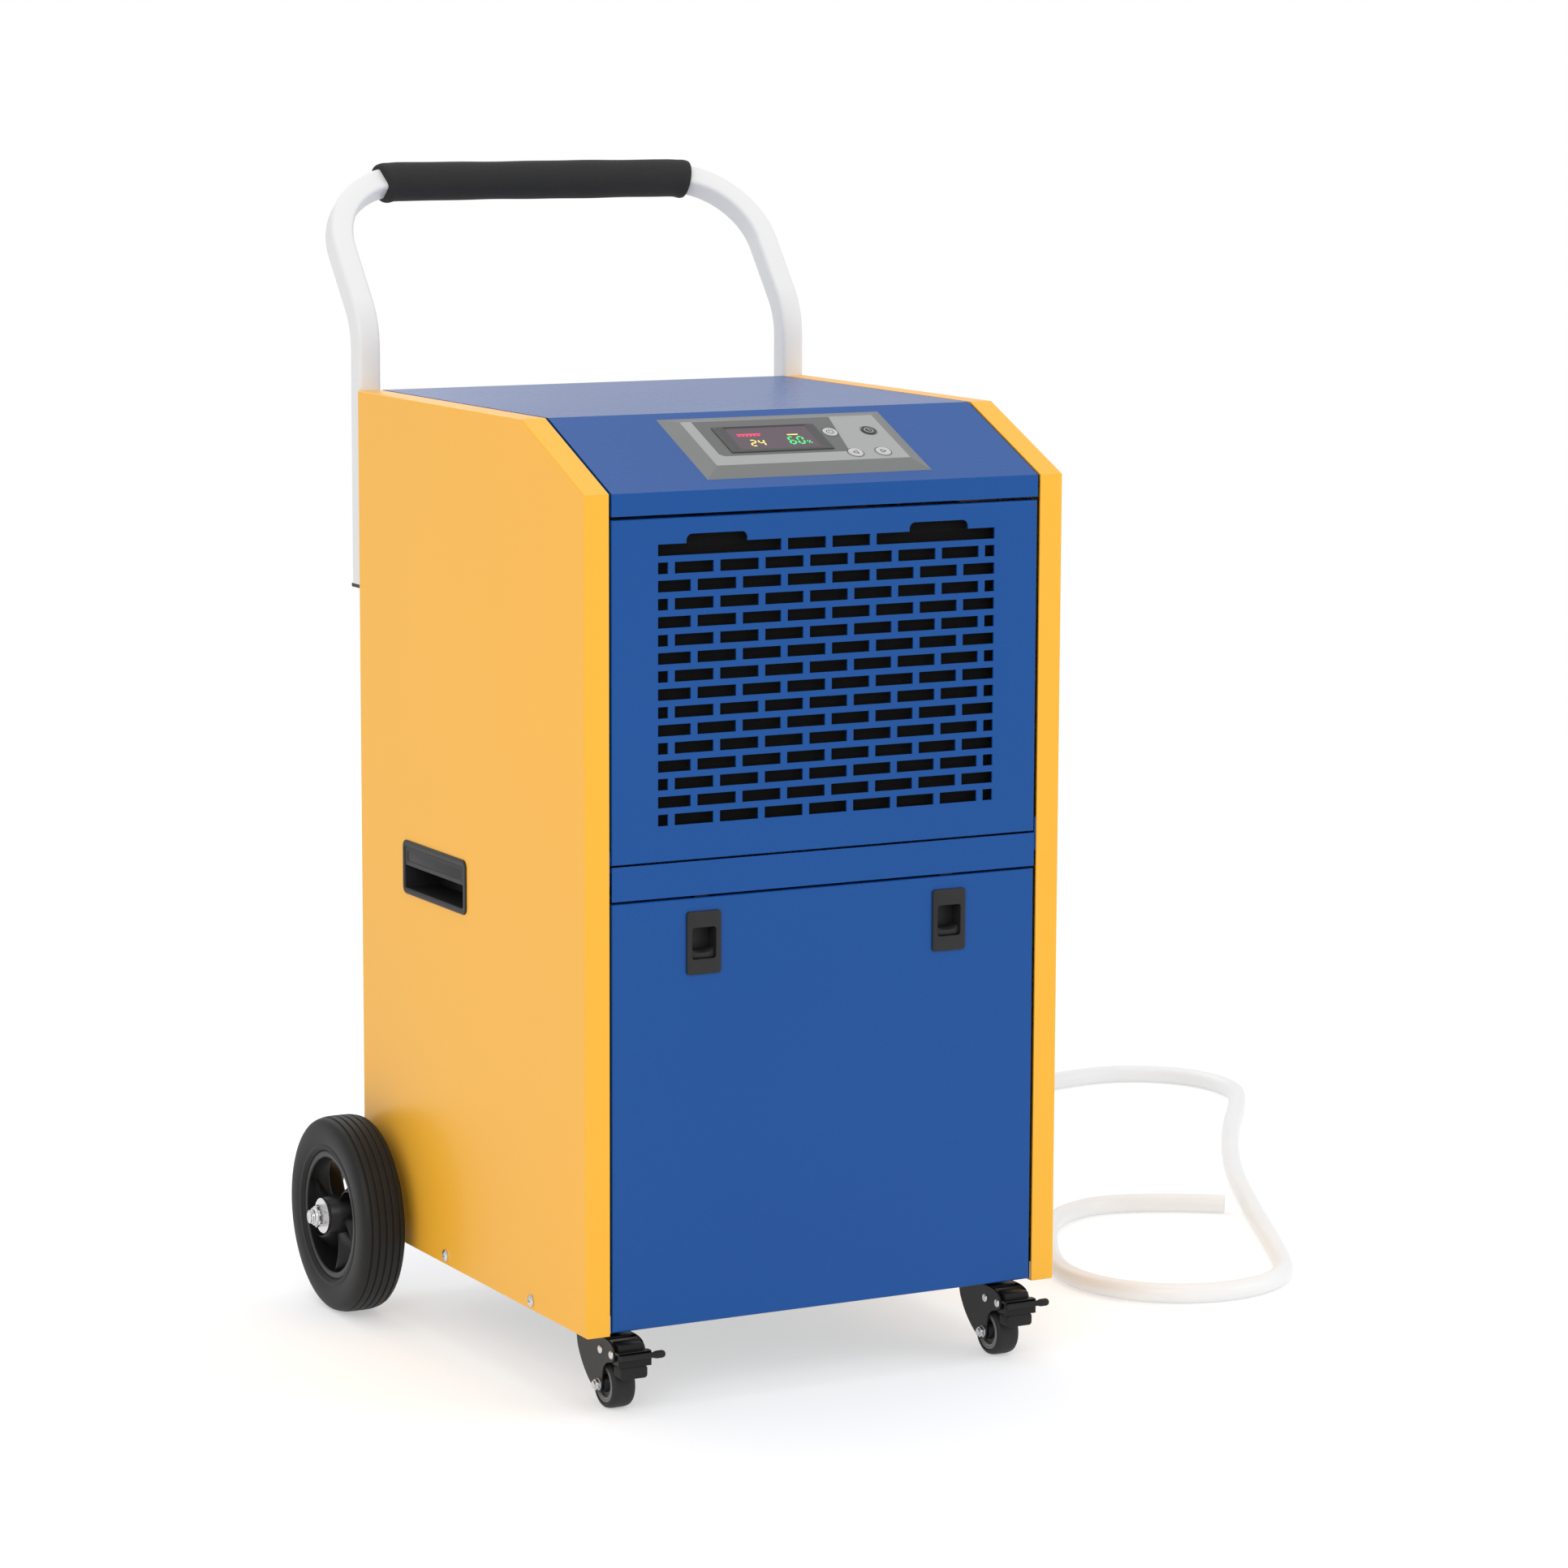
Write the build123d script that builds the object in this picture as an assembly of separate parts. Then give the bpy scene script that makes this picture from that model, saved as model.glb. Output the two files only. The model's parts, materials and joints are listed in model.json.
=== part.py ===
from build123d import *
import math
import os

os.makedirs("parts", exist_ok=True)

# A free-standing dehumidifier in millimetres: +Z up, the front faces -Y.
# Pieces are laid out with y = 0 on the cabinet's front face and z = 0 on the floor, and are moved
# as they are written, so that the origin is on the floor under the middle of the whole machine.

# ---- driving dimensions: cabinet --------------------------------------------------------------
body_width = 424.0
body_depth = 434.0
body_bottom = 65.0
body_top = 775.0
shoulder_drop = 50.0  # height of the sloped control face
shoulder_depth = 112.5  # how far back the sloped control face reaches
sheet = 1.5
rim = 20.5  # return round the edge of each side panel
seam = 2.4  # shadow gap between a side panel's rim and the front panels
edge_round = 1.6

# ---- driving dimensions: front ----------------------------------------------------------------
door_gap = 2.0
door_height = 340.0
rail_height = 27.0
rail_gap = 1.3
grille_height = 267.5
cover_gap = 2.6
door_return = 14.0
grille_return = 12.0
slot_rows = 16
slot_pitch = 14.0
slot_height = 9.0
slot_web = 5.7
slot_step = 39.4
slot_half_width = 149.5
filter_half = 160.0
filter_bar = 7.0
grille_margin = 28.3  # from the panel's lower edge to its first row of slots
notch_height = 7.2
notch_inset = 10.0
outlet_rows = 12
outlet_pitch = 18.0
outlet_height = 8.0
outlet_half = 125.0
outlet_rib = 42.0  # from the middle to each of the two ribs across the outlet
stud_r = 2.5
running_fit = 0.05  # radial clearance of every pin in a moving piece
moving_gap = 0.4  # clearance between a moving piece and what it passes

# ---- driving dimensions: latches and side pulls -----------------------------------------------
latch_x = 110.0
latch_width = 30.0
latch_height = 50.0
latch_drop = 10.5  # from the door's upper edge to the latch plate
latch_plate = 2.0
latch_window = 21.0
latch_window_height = 25.0
latch_depth = 11.2
latch_travel = 6.0
latch_edge = 2.2  # the plate stands this far over its box at the sides
latch_end = 3.2  # and this far above and below
neck_half = 6.0
neck_front = 4.0
pad_height = 8.0
slider_plate = 1.8
pull_length = 125.0
pull_height = 45.0
pull_depth = 32.0
pull_y = 282.5
pull_z = 387.5
pull_wall = 2.0
pull_frame = 3.0
pull_rise = 1.5
pull_corner = 6.0
pull_lip = 2.0  # the mouth's upper edge stands this far above the pull's middle

# ---- driving dimensions: handle ---------------------------------------------------------------
tube_size = 20.0
tube_wall = 1.5
tube_corner = 3.0
handle_foot_z = 612.0
handle_knee_z = 828.7
handle_top_z = 943.6
handle_reach = 92.0  # how far the grip stands behind the legs
handle_knee_r = 57.5
handle_corner_r = 72.0
grip_r = 17.0
grip_length = 292.0
bolt_r = 3.0

# ---- driving dimensions: wheels ---------------------------------------------------------------
wheel_r = 83.0
wheel_width = 40.0
wheel_gap = 9.0  # between a side panel and the tyre
bead_r = 54.5
rim_hole_r = 48.5
axle_r = 6.0
axle_y = 403.0
boss_r = 17.0
washer_r = 15.0
nut_flats = 17.0
nut_height = 8.0
spokes = 6

# ---- driving dimensions: casters --------------------------------------------------------------
caster_x = 175.0
kingpin_y = 46.0
trail = 20.0
caster_r = 20.0
caster_width = 20.0
plate_half = 15.5
cheek = 1.6
cheek_gap = 2.3
caster_axle_r = 3.0
kingpin_r = 4.0
pedal_pivot_y = 3.5
pedal_pivot_z = 49.0
rivet_r = 2.2
fork_z1 = 60.0
fork_top = 2.5
rivet_places = (pedal_pivot_y, pedal_pivot_y + 19.5)

# ---- driving dimensions: control unit ---------------------------------------------------------
bezel_width = 199.0
bezel_height = 97.5
bezel_rise = 4.5
bezel_slope = 13.0  # width of the bevel round the control face
bezel_v = 64.2  # middle of the bezel, measured up the slope
screen_width = 91.0
screen_height = 41.0
screen_u = -18.5
screen_v = 67.5
button_r = 6.2
button_travel = 1.0
buttons = {
    "power_button": (36.0, 74.2),
    "timer_button": (71.0, 74.2),
    "down_button": (42.2, 40.0),
    "up_button": (67.1, 40.0),
}

# ---- driving dimensions: inside ---------------------------------------------------------------
pan_sheet = 2.0
pan_wall = 25.0
shelf_z = 425.0
bay_wall_y = 245.0
tank_width = 300.0
tank_depth = 185.0
tank_height = 262.0
tank_wall = 2.5
tank_corner = 14.0
coil_width = 300.0
coil_height = 248.0
coil_thickness = 40.0
coil_y = 45.0
coil_z = 452.0
fan_z = 575.0
fan_y = 172.0
fan_r = 118.0
fan_gap = 3.0
fan_hub_r = 34.0
shroud_top = 704.0
fan_blades = 5
motor_r = 42.0
compressor_x = -50.0
compressor_y = 320.0
compressor_r = 58.0
compressor_height = 205.0
float_x = 75.0
float_pivot_y = 222.0
float_pivot_z = 342.0
float_pin_r = 1.5
foot_height = 16.0
foot_circle = 60.0
accumulator_x = 60.0
accumulator_z0 = 110.0
accumulator_z1 = 262.0
accumulator_r = 25.0
electrics_height = 110.0

# ---- driving dimensions: drain hose -----------------------------------------------------------
hose_r = 8.5
spout_x = 130.0
spout_z = 100.0
spout_length = 16.0
hose_straight = 78.0  # how far the hose runs straight back from the spout
# Places along the floor: X, distance behind the spout's mouth, and Z.
hose_floor = [
    (140.0, 156.0, 56.0),
    (168.0, 244.0, hose_r),
    (234.0, 306.0, hose_r),
    (320.0, 350.0, hose_r),
    (424.0, 376.0, hose_r),
    (532.0, 392.0, hose_r),
    (638.0, 410.0, hose_r),
    (734.0, 432.0, hose_r),
    (818.0, 442.0, hose_r),
    (880.0, 398.0, hose_r),
    (894.0, 324.0, hose_r),
    (858.0, 262.0, hose_r),
    (788.0, 170.0, hose_r),
    (698.0, 30.0, hose_r),
    (618.0, -130.0, hose_r),
    (556.0, -264.0, hose_r),
    (512.0, -346.0, hose_r),
    (450.0, -372.0, hose_r),
    (386.0, -356.0, hose_r),
    (346.0, -306.0, hose_r),
    (344.0, -238.0, hose_r),
    (388.0, -148.0, hose_r),
    (442.0, -66.0, hose_r),
    (528.0, -40.0, hose_r),
    (608.0, -98.0, hose_r),
]

# ---- worked out from the values above ---------------------------------------------------------
half_width = body_width / 2
skin_x = half_width - sheet
panel_half = half_width - rim - seam
shoulder_z = body_top - shoulder_drop
door_z0 = body_bottom + door_gap
door_z1 = door_z0 + door_height
rail_z0 = door_z1 + door_gap
rail_z1 = rail_z0 + rail_height
grille_z0 = rail_z1 + rail_gap
grille_z1 = grille_z0 + grille_height
cover_z0 = grille_z1 + cover_gap
slot_z0 = grille_z0 + grille_margin
pan_z = body_bottom + sheet
wheel_x0 = half_width + wheel_gap
wheel_x1 = wheel_x0 + wheel_width
boss_x0 = half_width + 2.0
boss_x1 = wheel_x1 + 1.0
washer_x1 = boss_x1 + 2.8
nut_x1 = washer_x1 + nut_height
axle_end = nut_x1 + 3.5
leg_x = half_width - 12.0
plug_size = tube_size - 2 * tube_wall - 0.2
leg_y = body_depth + tube_size / 2
grip_y = leg_y + handle_reach
caster_axle_y = kingpin_y - trail
cheek_x0 = caster_width / 2 + cheek_gap
cheek_x1 = cheek_x0 + cheek
lever_y = pedal_pivot_y - 16.7
lever_r = 2.3
tip_r = 3.1
coil_y2 = coil_y + coil_thickness + 10.0
ear_x0 = panel_half + 1.2
ear_x1 = ear_x0 + 2.0
door_stud_y = 8.0
door_stud_z = door_z0 + 6.0
grille_stud_y = 5.0
grille_stud_z = grille_z0 + 5.0
skirt_u = bezel_width - 2 * bezel_slope + 5.0
skirt_v = bezel_height - 2 * bezel_slope + 5.0
screw_places = (100.5, 265.8)
screw_z = 73.0
screw_r = 2.5
bolt_heights = (640.0, 745.0)
spout_r = 6.0
spout_wall = 2.0
gland_x = -130.0
gland_z = 130.0
gland_r = 9.0
pipe_x = 95.0
pipe_y = 290.0
pipe_hole_r = 8.0
latch_z = door_z1 - latch_drop - latch_height / 2
latch_box_half = latch_width / 2 - latch_edge
latch_box_top = latch_height / 2 - latch_end
neck_z0 = latch_z + latch_box_top + 2 * moving_gap
slot_w = latch_window / 2
window_z0 = latch_z - latch_height / 2 + 12.0
window_z1 = window_z0 + latch_window_height
spout_end = body_depth + spout_length
hose_route = [
    (spout_x, spout_end, spout_z),
    (spout_x, spout_end + hose_straight, spout_z),
]
hose_route += [(x, spout_end + behind, z) for x, behind, z in hose_floor]
slope_angle = math.atan2(shoulder_drop, shoulder_depth)
slope = Plane(
    origin=(0, 0, shoulder_z),
    x_dir=(1, 0, 0),
    z_dir=(0, -math.sin(slope_angle), math.cos(slope_angle)),
)
front_y = -(grip_y + grip_r + lever_y - tip_r) / 2


# ---- shapes used throughout -------------------------------------------------------------------
def span(x0, x1, y0, y1, z0, z1):
    """A box between two limits on each axis."""
    middle = Pos((x0 + x1) / 2, (y0 + y1) / 2, (z0 + z1) / 2)
    return middle * Box(x1 - x0, y1 - y0, z1 - z0)


def rod_x(x0, x1, y, z, r):
    """A cylinder along X."""
    return Pos((x0 + x1) / 2, y, z) * Rot(0, 90, 0) * Cylinder(r, x1 - x0)


def rod_y(x, y0, y1, z, r):
    """A cylinder along Y."""
    return Pos(x, (y0 + y1) / 2, z) * Rot(90, 0, 0) * Cylinder(r, y1 - y0)


def rod_z(x, y, z0, z1, r):
    """A cylinder along Z."""
    return Pos(x, y, (z0 + z1) / 2) * Cylinder(r, z1 - z0)


def prism_x(outline, x0, x1):
    """A (y, z) outline extruded along X."""
    face = Plane.YZ.offset(x0) * make_face(Polyline(*outline, close=True))
    return extrude(face, amount=x1 - x0)


def turned_x(outline, y, z):
    """An (x, radius) outline turned about the line along X through (y, z)."""
    face = make_face(Polyline(*outline, close=True))
    return Pos(0, y, z) * revolve(face, axis=Axis.X)


def inset(outline, distance):
    """A convex outline, listed clockwise, moved inwards by a distance."""
    moved = []
    count = len(outline)
    for i in range(count):
        before, here, after = outline[i - 1], outline[i], outline[(i + 1) % count]
        a = math.atan2(here[1] - before[1], here[0] - before[0])
        b = math.atan2(after[1] - here[1], after[0] - here[0])
        middle = (a + b) / 2 if abs(a - b) < math.pi else (a + b) / 2 + math.pi
        reach = distance / math.cos((a - middle))
        moved.append((here[0] + reach * math.sin(middle), here[1] - reach * math.cos(middle)))
    return moved


def mirrored(shape):
    """The same shape on the other side of the machine."""
    return mirror(shape, about=Plane.YZ)


def save(name, *solids):
    """Write one node, moved so that the origin is under the machine's middle."""
    moved = [Pos(0, front_y, 0) * solid for s in solids for solid in s.solids()]
    shape = moved[0] if len(moved) == 1 else Compound(children=moved)
    export_step(shape, f"parts/{name}.step")


# ---- cabinet sheet metal ----------------------------------------------------------------------
def side_panel():
    """The right side panel: a shallow tray with a rim all round."""
    outline = [
        (0, body_bottom),
        (0, shoulder_z),
        (shoulder_depth, body_top),
        (body_depth, body_top),
        (body_depth, body_bottom),
    ]
    outer = prism_x(outline, half_width - rim, half_width)
    outer = fillet(outer.faces().sort_by(Axis.X)[-1].edges(), edge_round)
    panel = outer - prism_x(inset(outline, sheet), half_width - rim - 1, skin_x)
    half_l = pull_length / 2 - pull_frame
    half_h = pull_height / 2 - pull_frame
    y0, y1 = pull_y - half_l, pull_y + half_l
    panel -= span(skin_x - 1, half_width + 1, y0, y1, pull_z - half_h, pull_z + half_h)
    panel -= rod_x(skin_x - 1, half_width + 1, axle_y, wheel_r, axle_r)
    for y in screw_places:
        panel -= rod_x(skin_x - 1, half_width + 1, y, screw_z, screw_r)
    for z in bolt_heights:
        panel -= rod_y(leg_x, body_depth - sheet - 1, body_depth + 1, z, bolt_r)
    return panel


def top_cover():
    """The cover: front lip, sloped control face and flat top, with turned-down sides."""
    skirt = 17.0
    crest = body_top - skirt
    outline = [
        (0, cover_z0),
        (0, shoulder_z),
        (shoulder_depth, body_top),
        (body_depth, body_top),
        (body_depth, crest),
        (shoulder_depth + 4, crest),
        (skirt, cover_z0),
    ]
    hollow = [
        (sheet, cover_z0 + sheet),
        (sheet, shoulder_z - sheet * 0.2),
        (shoulder_depth + sheet * 0.2, body_top - sheet),
        (body_depth - sheet, body_top - sheet),
        (body_depth - sheet, crest - 1),
        (shoulder_depth + 4, crest - 1),
        (skirt + sheet, cover_z0 - 1),
        (skirt - sheet, cover_z0 + sheet),
    ]
    cover = prism_x(outline, -panel_half, panel_half)
    cover -= prism_x(hollow, -panel_half + sheet, panel_half - sheet)
    cover -= slope * Pos(0, bezel_v, 0) * Box(skirt_u, skirt_v, 4 * skirt)
    return cover


def louvred_rear():
    """The rear panel with its outlet louvres, drain and cord holes."""
    top = body_top - 17.0 - sheet
    inner = body_depth - grille_return
    face = body_depth - sheet
    tray_z0 = pan_z + pan_wall + moving_gap
    panel = span(-panel_half, panel_half, inner, body_depth, tray_z0, top)
    room_half = panel_half - sheet
    panel -= span(-room_half, room_half, inner - 1, face, tray_z0 + sheet, top - sheet)
    panel += span(-panel_half, panel_half, face, body_depth, door_z0, tray_z0 + 1)
    first = fan_z - (outlet_rows - 1) * outlet_pitch / 2
    last = first + outlet_rows * outlet_pitch
    slots = []
    for i in range(outlet_rows):
        z = first + i * outlet_pitch - outlet_height / 2
        slots.append(span(-outlet_half, outlet_half, face - 1, body_depth + 1, z, z + outlet_height))
    ribs = [span(x - 3, x + 3, face, body_depth, first - 10, last) for x in (-outlet_rib, outlet_rib)]
    panel = panel - slots + ribs
    panel -= rod_y(spout_x, body_depth - 5, body_depth + 5, spout_z, spout_r)
    panel -= rod_y(gland_x, body_depth - 5, body_depth + 5, gland_z, gland_r)
    return panel


def middle_rail():
    """The channel between the door and the grille, with the ears that hold the grille's studs."""
    depth = 25.0
    drop = 2.5  # the upper flange is set below the face's upper edge, clear of the tilting grille
    face = span(-panel_half, panel_half, 0, sheet, rail_z0, rail_z1)
    web = span(-skin_x, skin_x, depth - sheet, depth, rail_z0 + drop, rail_z1 - drop)
    lower = span(-panel_half, panel_half, 0, depth, rail_z0 + drop, rail_z0 + drop + sheet)
    upper = span(-panel_half, panel_half, 0, depth, rail_z1 - drop - sheet, rail_z1 - drop)
    rail = face + web + lower + upper
    ear = span(ear_x0, ear_x1, sheet, depth, rail_z1 - drop - 12, grille_stud_z + 6)
    ear -= rod_x(ear_x0 - 1, ear_x1 + 1, grille_stud_y, grille_stud_z, stud_r + running_fit)
    return rail + ear + mirrored(ear)


def base_pan():
    """The floor of the cabinet: a pan with the door's ears and the axle's brackets."""
    pan_y0 = door_return + 4.0
    pan_y1 = body_depth - sheet
    pan = span(-skin_x, skin_x, pan_y0, pan_y1, pan_z, pan_z + pan_wall)
    room_x = skin_x - pan_sheet
    room_y0, room_y1 = pan_y0 + pan_sheet, pan_y1 - pan_sheet
    pan -= span(-room_x, room_x, room_y0, room_y1, pan_z + pan_sheet, pan_z + pan_wall + 1)
    ear = span(ear_x0, ear_x1, sheet, pan_y0 + 1, pan_z, door_stud_z + 8)
    ear -= rod_x(ear_x0 - 1, ear_x1 + 1, door_stud_y, door_stud_z, stud_r + running_fit)
    bracket = span(160, 164, axle_y - 18, axle_y + 18, pan_z + pan_sheet, wheel_r + axle_r + 8)
    for piece in (ear, bracket):
        pan += piece
        pan += mirrored(piece)
    pan -= rod_x(-half_width, half_width, axle_y, wheel_r, axle_r)
    for y in screw_places:
        pan -= rod_x(-half_width, half_width, y, screw_z, screw_r)
    return pan


save("left_side_panel", mirrored(side_panel()))
save("right_side_panel", side_panel())
save("top_cover", top_cover())
save("rear_panel", louvred_rear())
save("middle_rail", middle_rail())
save("base_pan", base_pan())


def partition_shelf():
    """The shelf between the tank's bay and the air path, with holes for the pipes."""
    shelf = span(-skin_x, skin_x, 27, body_depth - grille_return - 1, shelf_z, shelf_z + sheet)
    for x in (-pipe_x, pipe_x):
        shelf -= rod_z(x, pipe_y, shelf_z - 1, shelf_z + 3, pipe_hole_r)
    return shelf


def bay_wall():
    """The upright wall behind the tank, notched round the two side pulls."""
    wall = span(-skin_x, skin_x, bay_wall_y, bay_wall_y + sheet, pan_z + pan_wall, shelf_z)
    half_h = pull_height / 2 + 1
    x0 = half_width - pull_depth - 1
    notch = span(x0, half_width, bay_wall_y - 1, bay_wall_y + 3, pull_z - half_h, pull_z + half_h)
    return wall - notch - mirrored(notch)


save("partition_shelf", partition_shelf())
save("bay_wall", bay_wall())


# ---- fasteners and pulls ----------------------------------------------------------------------
def pan_head(r, height):
    """A low domed screw head standing on z = 0."""
    head = Cylinder(r, height, align=(Align.CENTER, Align.CENTER, Align.MIN))
    return fillet(head.edges().sort_by(Axis.Z)[-1], height * 0.6)


def side_pull():
    """The right recessed pull: a frame, a pocket behind it and a plate over its upper part."""
    x1 = half_width + pull_rise
    half_l = pull_length / 2
    half_h = pull_height / 2
    z0, z1 = pull_z - half_h, pull_z + half_h
    frame = span(half_width, x1, pull_y - half_l, pull_y + half_l, z0, z1)
    frame = fillet(frame.edges().filter_by(Axis.X), pull_corner)
    in_l = half_l - pull_frame
    in_h = half_h - pull_frame
    x0 = half_width - pull_depth
    pocket = span(x0, half_width, pull_y - in_l, pull_y + in_l, pull_z - in_h, pull_z + in_h)
    room_l = in_l - pull_wall
    room_h = in_h - pull_wall
    deep = x0 + pull_wall
    y0, y1 = pull_y - room_l, pull_y + room_l
    room = span(deep, half_width - pull_wall, y0, y1, pull_z - room_h, pull_z + room_h)
    mouth = span(deep, x1 + 1, y0, y1, pull_z - room_h, pull_z + pull_lip)
    return frame + pocket - room - mouth


def panel_screws():
    """The pan-head screws that hold the side panels to the base pan."""
    screws = []
    for y in screw_places:
        head = Pos(half_width, y, screw_z) * Rot(0, 90, 0) * pan_head(5.0, 2.6)
        screw = head + rod_x(skin_x - 1.5, half_width, y, screw_z, screw_r)
        screws += [screw, mirrored(screw)]
    return screws


save("left_pull", mirrored(side_pull()))
save("right_pull", side_pull())
save("panel_screws", *panel_screws())


# ---- handle -----------------------------------------------------------------------------------
def handle_path(x_end):
    """The handle's centre line, from one foot over the grip to the other."""
    return FilletPolyline(
        (-leg_x, leg_y, handle_foot_z),
        (-leg_x, leg_y, handle_knee_z),
        (-leg_x, grip_y, handle_top_z),
        (x_end, grip_y, handle_top_z),
        (x_end, leg_y, handle_knee_z),
        (x_end, leg_y, handle_foot_z),
        radius=[handle_knee_r, handle_corner_r, handle_corner_r, handle_knee_r],
    )


def handle_tube(size, corner):
    """The bent square tube, as a solid of one outer size."""
    section = Plane((-leg_x, leg_y, handle_foot_z)) * RectangleRounded(size, size, corner)
    return sweep(section, path=handle_path(leg_x))


def foam_grip():
    """The foam sleeve over the tube's top bar and the beginning of its bends."""
    straight = leg_x - handle_corner_r
    turn = math.asin((grip_length / 2 - straight) / handle_corner_r)
    lean = math.atan2(handle_reach, handle_top_z - handle_knee_z)
    drop = handle_corner_r * (1 - math.cos(turn))
    back = (0, -math.sin(lean), -math.cos(lean))
    end = grip_length / 2
    left = (-end, grip_y + drop * back[1], handle_top_z + drop * back[2])
    right = (end, left[1], left[2])
    start = (math.cos(turn), -math.sin(turn) * back[1], -math.sin(turn) * back[2])
    first = TangentArc(left, (-straight, grip_y, handle_top_z), tangent=start)
    bar = Line((-straight, grip_y, handle_top_z), (straight, grip_y, handle_top_z))
    last = TangentArc((straight, grip_y, handle_top_z), right, tangent=(1, 0, 0))
    section = Plane(origin=left, z_dir=start) * Circle(grip_r)
    return sweep(section, path=Wire([first, bar, last]))


outer_tube = handle_tube(tube_size, tube_corner)
hollow_tube = outer_tube - handle_tube(tube_size - 2 * tube_wall, tube_corner - tube_wall)
end_caps = []
handle_bolts = []
for x in (-leg_x, leg_x):
    plug = Pos(x, leg_y, handle_foot_z + 6) * Box(plug_size, plug_size, 12)
    plug = fillet(plug.edges().filter_by(Axis.Z), 1.7)
    cap = Pos(x, leg_y, handle_foot_z - 1.5) * Box(tube_size, tube_size, 3)
    end_caps.append(plug + cap)
    for z in bolt_heights:
        hollow_tube -= rod_y(x, leg_y - tube_size, leg_y + tube_size, z, bolt_r)
        head = Pos(x, leg_y + tube_size / 2, z) * Rot(-90, 0, 0) * pan_head(5.5, 3.2)
        handle_bolts.append(head + rod_y(x, body_depth - 8, leg_y + tube_size / 2, z, bolt_r))
save("handle_tube", hollow_tube)
save("handle_grip", foam_grip() - outer_tube)
save("handle_end_caps", *end_caps)
save("handle_bolts", *handle_bolts)


# ---- grille and door --------------------------------------------------------------------------
def slot_row(row):
    """The (x0, x1) spans of one row of slots, counted from the bottom; rows are laid like bricks."""
    half_slot = (slot_step - slot_web) / 2
    if row % 2:
        webs = [slot_step * i for i in range(-3, 4)]
    else:
        webs = [slot_step * (i + 0.5) for i in range(-4, 4)]
    edges = [-slot_half_width]
    for web in webs:
        edges += [web - slot_web / 2, web + slot_web / 2]
    edges.append(slot_half_width)
    return list(zip(edges[0::2], edges[1::2]))


def front_tray(z0, z1, depth):
    """A front panel folded back along all four edges."""
    outer = span(-panel_half, panel_half, 0, depth, z0, z1)
    outer = fillet(outer.faces().sort_by(Axis.Y)[0].edges(), edge_round)
    half = panel_half - sheet
    return outer - span(-half, half, sheet, depth + 1, z0 + sheet, z1 - sheet)


def studs(y, z):
    """The two studs that a front panel turns on."""
    stud = rod_x(panel_half - sheet, ear_x1 + 1.0, y, z, stud_r)
    return stud + mirrored(stud)


def finger_notch():
    """A finger hole: two slots of the top row run together, with a raised, rounded top."""
    z0 = slot_z0 + (slot_rows - 1) * slot_pitch
    x0 = slot_step * 1.5 + slot_web / 2
    x1 = slot_step * 3.5 - slot_web / 2
    low = span(x0, x1, -1, sheet + 1, z0, z0 + slot_height)
    z1 = z0 + slot_height + notch_height
    high = span(x0 + notch_inset, x1 - notch_inset, -1, sheet + 1, z0, z1)
    upper = high.edges().filter_by(Axis.Y).group_by(Axis.Z)[-1]
    return low + fillet(upper, 5.0)


def grille_panel():
    """The intake grille panel with its rows of slots and two finger notches."""
    slots = []
    for row in range(slot_rows):
        z = slot_z0 + row * slot_pitch
        slots += [span(x0, x1, -1, sheet + 1, z, z + slot_height) for x0, x1 in slot_row(row)]
    notch = finger_notch()
    panel = front_tray(grille_z0, grille_z1, grille_return) - slots - notch - mirrored(notch)
    return panel + studs(grille_stud_y, grille_stud_z)


def front_door():
    """The lower door, with the holes for its two latches."""
    door = front_tray(door_z0, door_z1, door_return)
    z0, z1 = latch_z - latch_box_top, latch_z + latch_box_top
    slot = neck_half + 1.0
    for x in (-latch_x, latch_x):
        door -= span(x - latch_box_half, x + latch_box_half, -1, sheet + 1, z0, z1)
        door -= span(x - slot, x + slot, neck_front - 1, 10.0, door_z1 - sheet - 1, door_z1 + 1)
    return door + studs(door_stud_y, door_stud_z)


def latch_housing(x):
    """A latch's plate and box, with the window that a finger reaches into."""
    half_w = latch_width / 2
    half_h = latch_height / 2
    plate = span(x - half_w, x + half_w, -latch_plate, 0, latch_z - half_h, latch_z + half_h)
    plate = fillet(plate.edges().filter_by(Axis.Y), 2.5)
    x0, x1 = x - latch_box_half, x + latch_box_half
    block = span(x0, x1, 0, latch_depth, latch_z - latch_box_top, latch_z + latch_box_top)
    back = latch_depth + 1
    window = span(x - slot_w, x + slot_w, -latch_plate - 1, back, window_z0, window_z1)
    room = span(x - slot_w, x + slot_w, 0, back, window_z0 - latch_travel - 1.0, window_z1)
    side = neck_half + moving_gap
    notch_z0 = neck_z0 - latch_travel - moving_gap
    notch = span(x - side, x + side, neck_front - moving_gap, back, notch_z0, neck_z0)
    return plate + block - window - room - notch


def latch_slider(x):
    """The sprung slider behind a latch: thumb pad, plate and tongue."""
    pad_w = slot_w - moving_gap
    pad_z1 = window_z0 + pad_height
    pad = span(x - pad_w, x + pad_w, moving_gap, latch_depth + moving_gap, window_z0, pad_z1)
    pad = fillet(pad.edges().filter_by(Axis.X).group_by(Axis.Z)[-1].sort_by(Axis.Y)[0], 5)
    y0 = latch_depth + moving_gap
    y1 = y0 + slider_plate
    top = door_z1 - sheet - 2
    x0, x1 = x - neck_half, x + neck_half
    plate = span(x - 9, x + 9, y0, y1, window_z0 - pad_height, top)
    neck = span(x0, x1, neck_front, y1, neck_z0, top)
    tongue = span(x0, x1, neck_front, 9.0, neck_z0, door_z1 + 1.2)
    return pad + plate + neck + tongue


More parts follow.
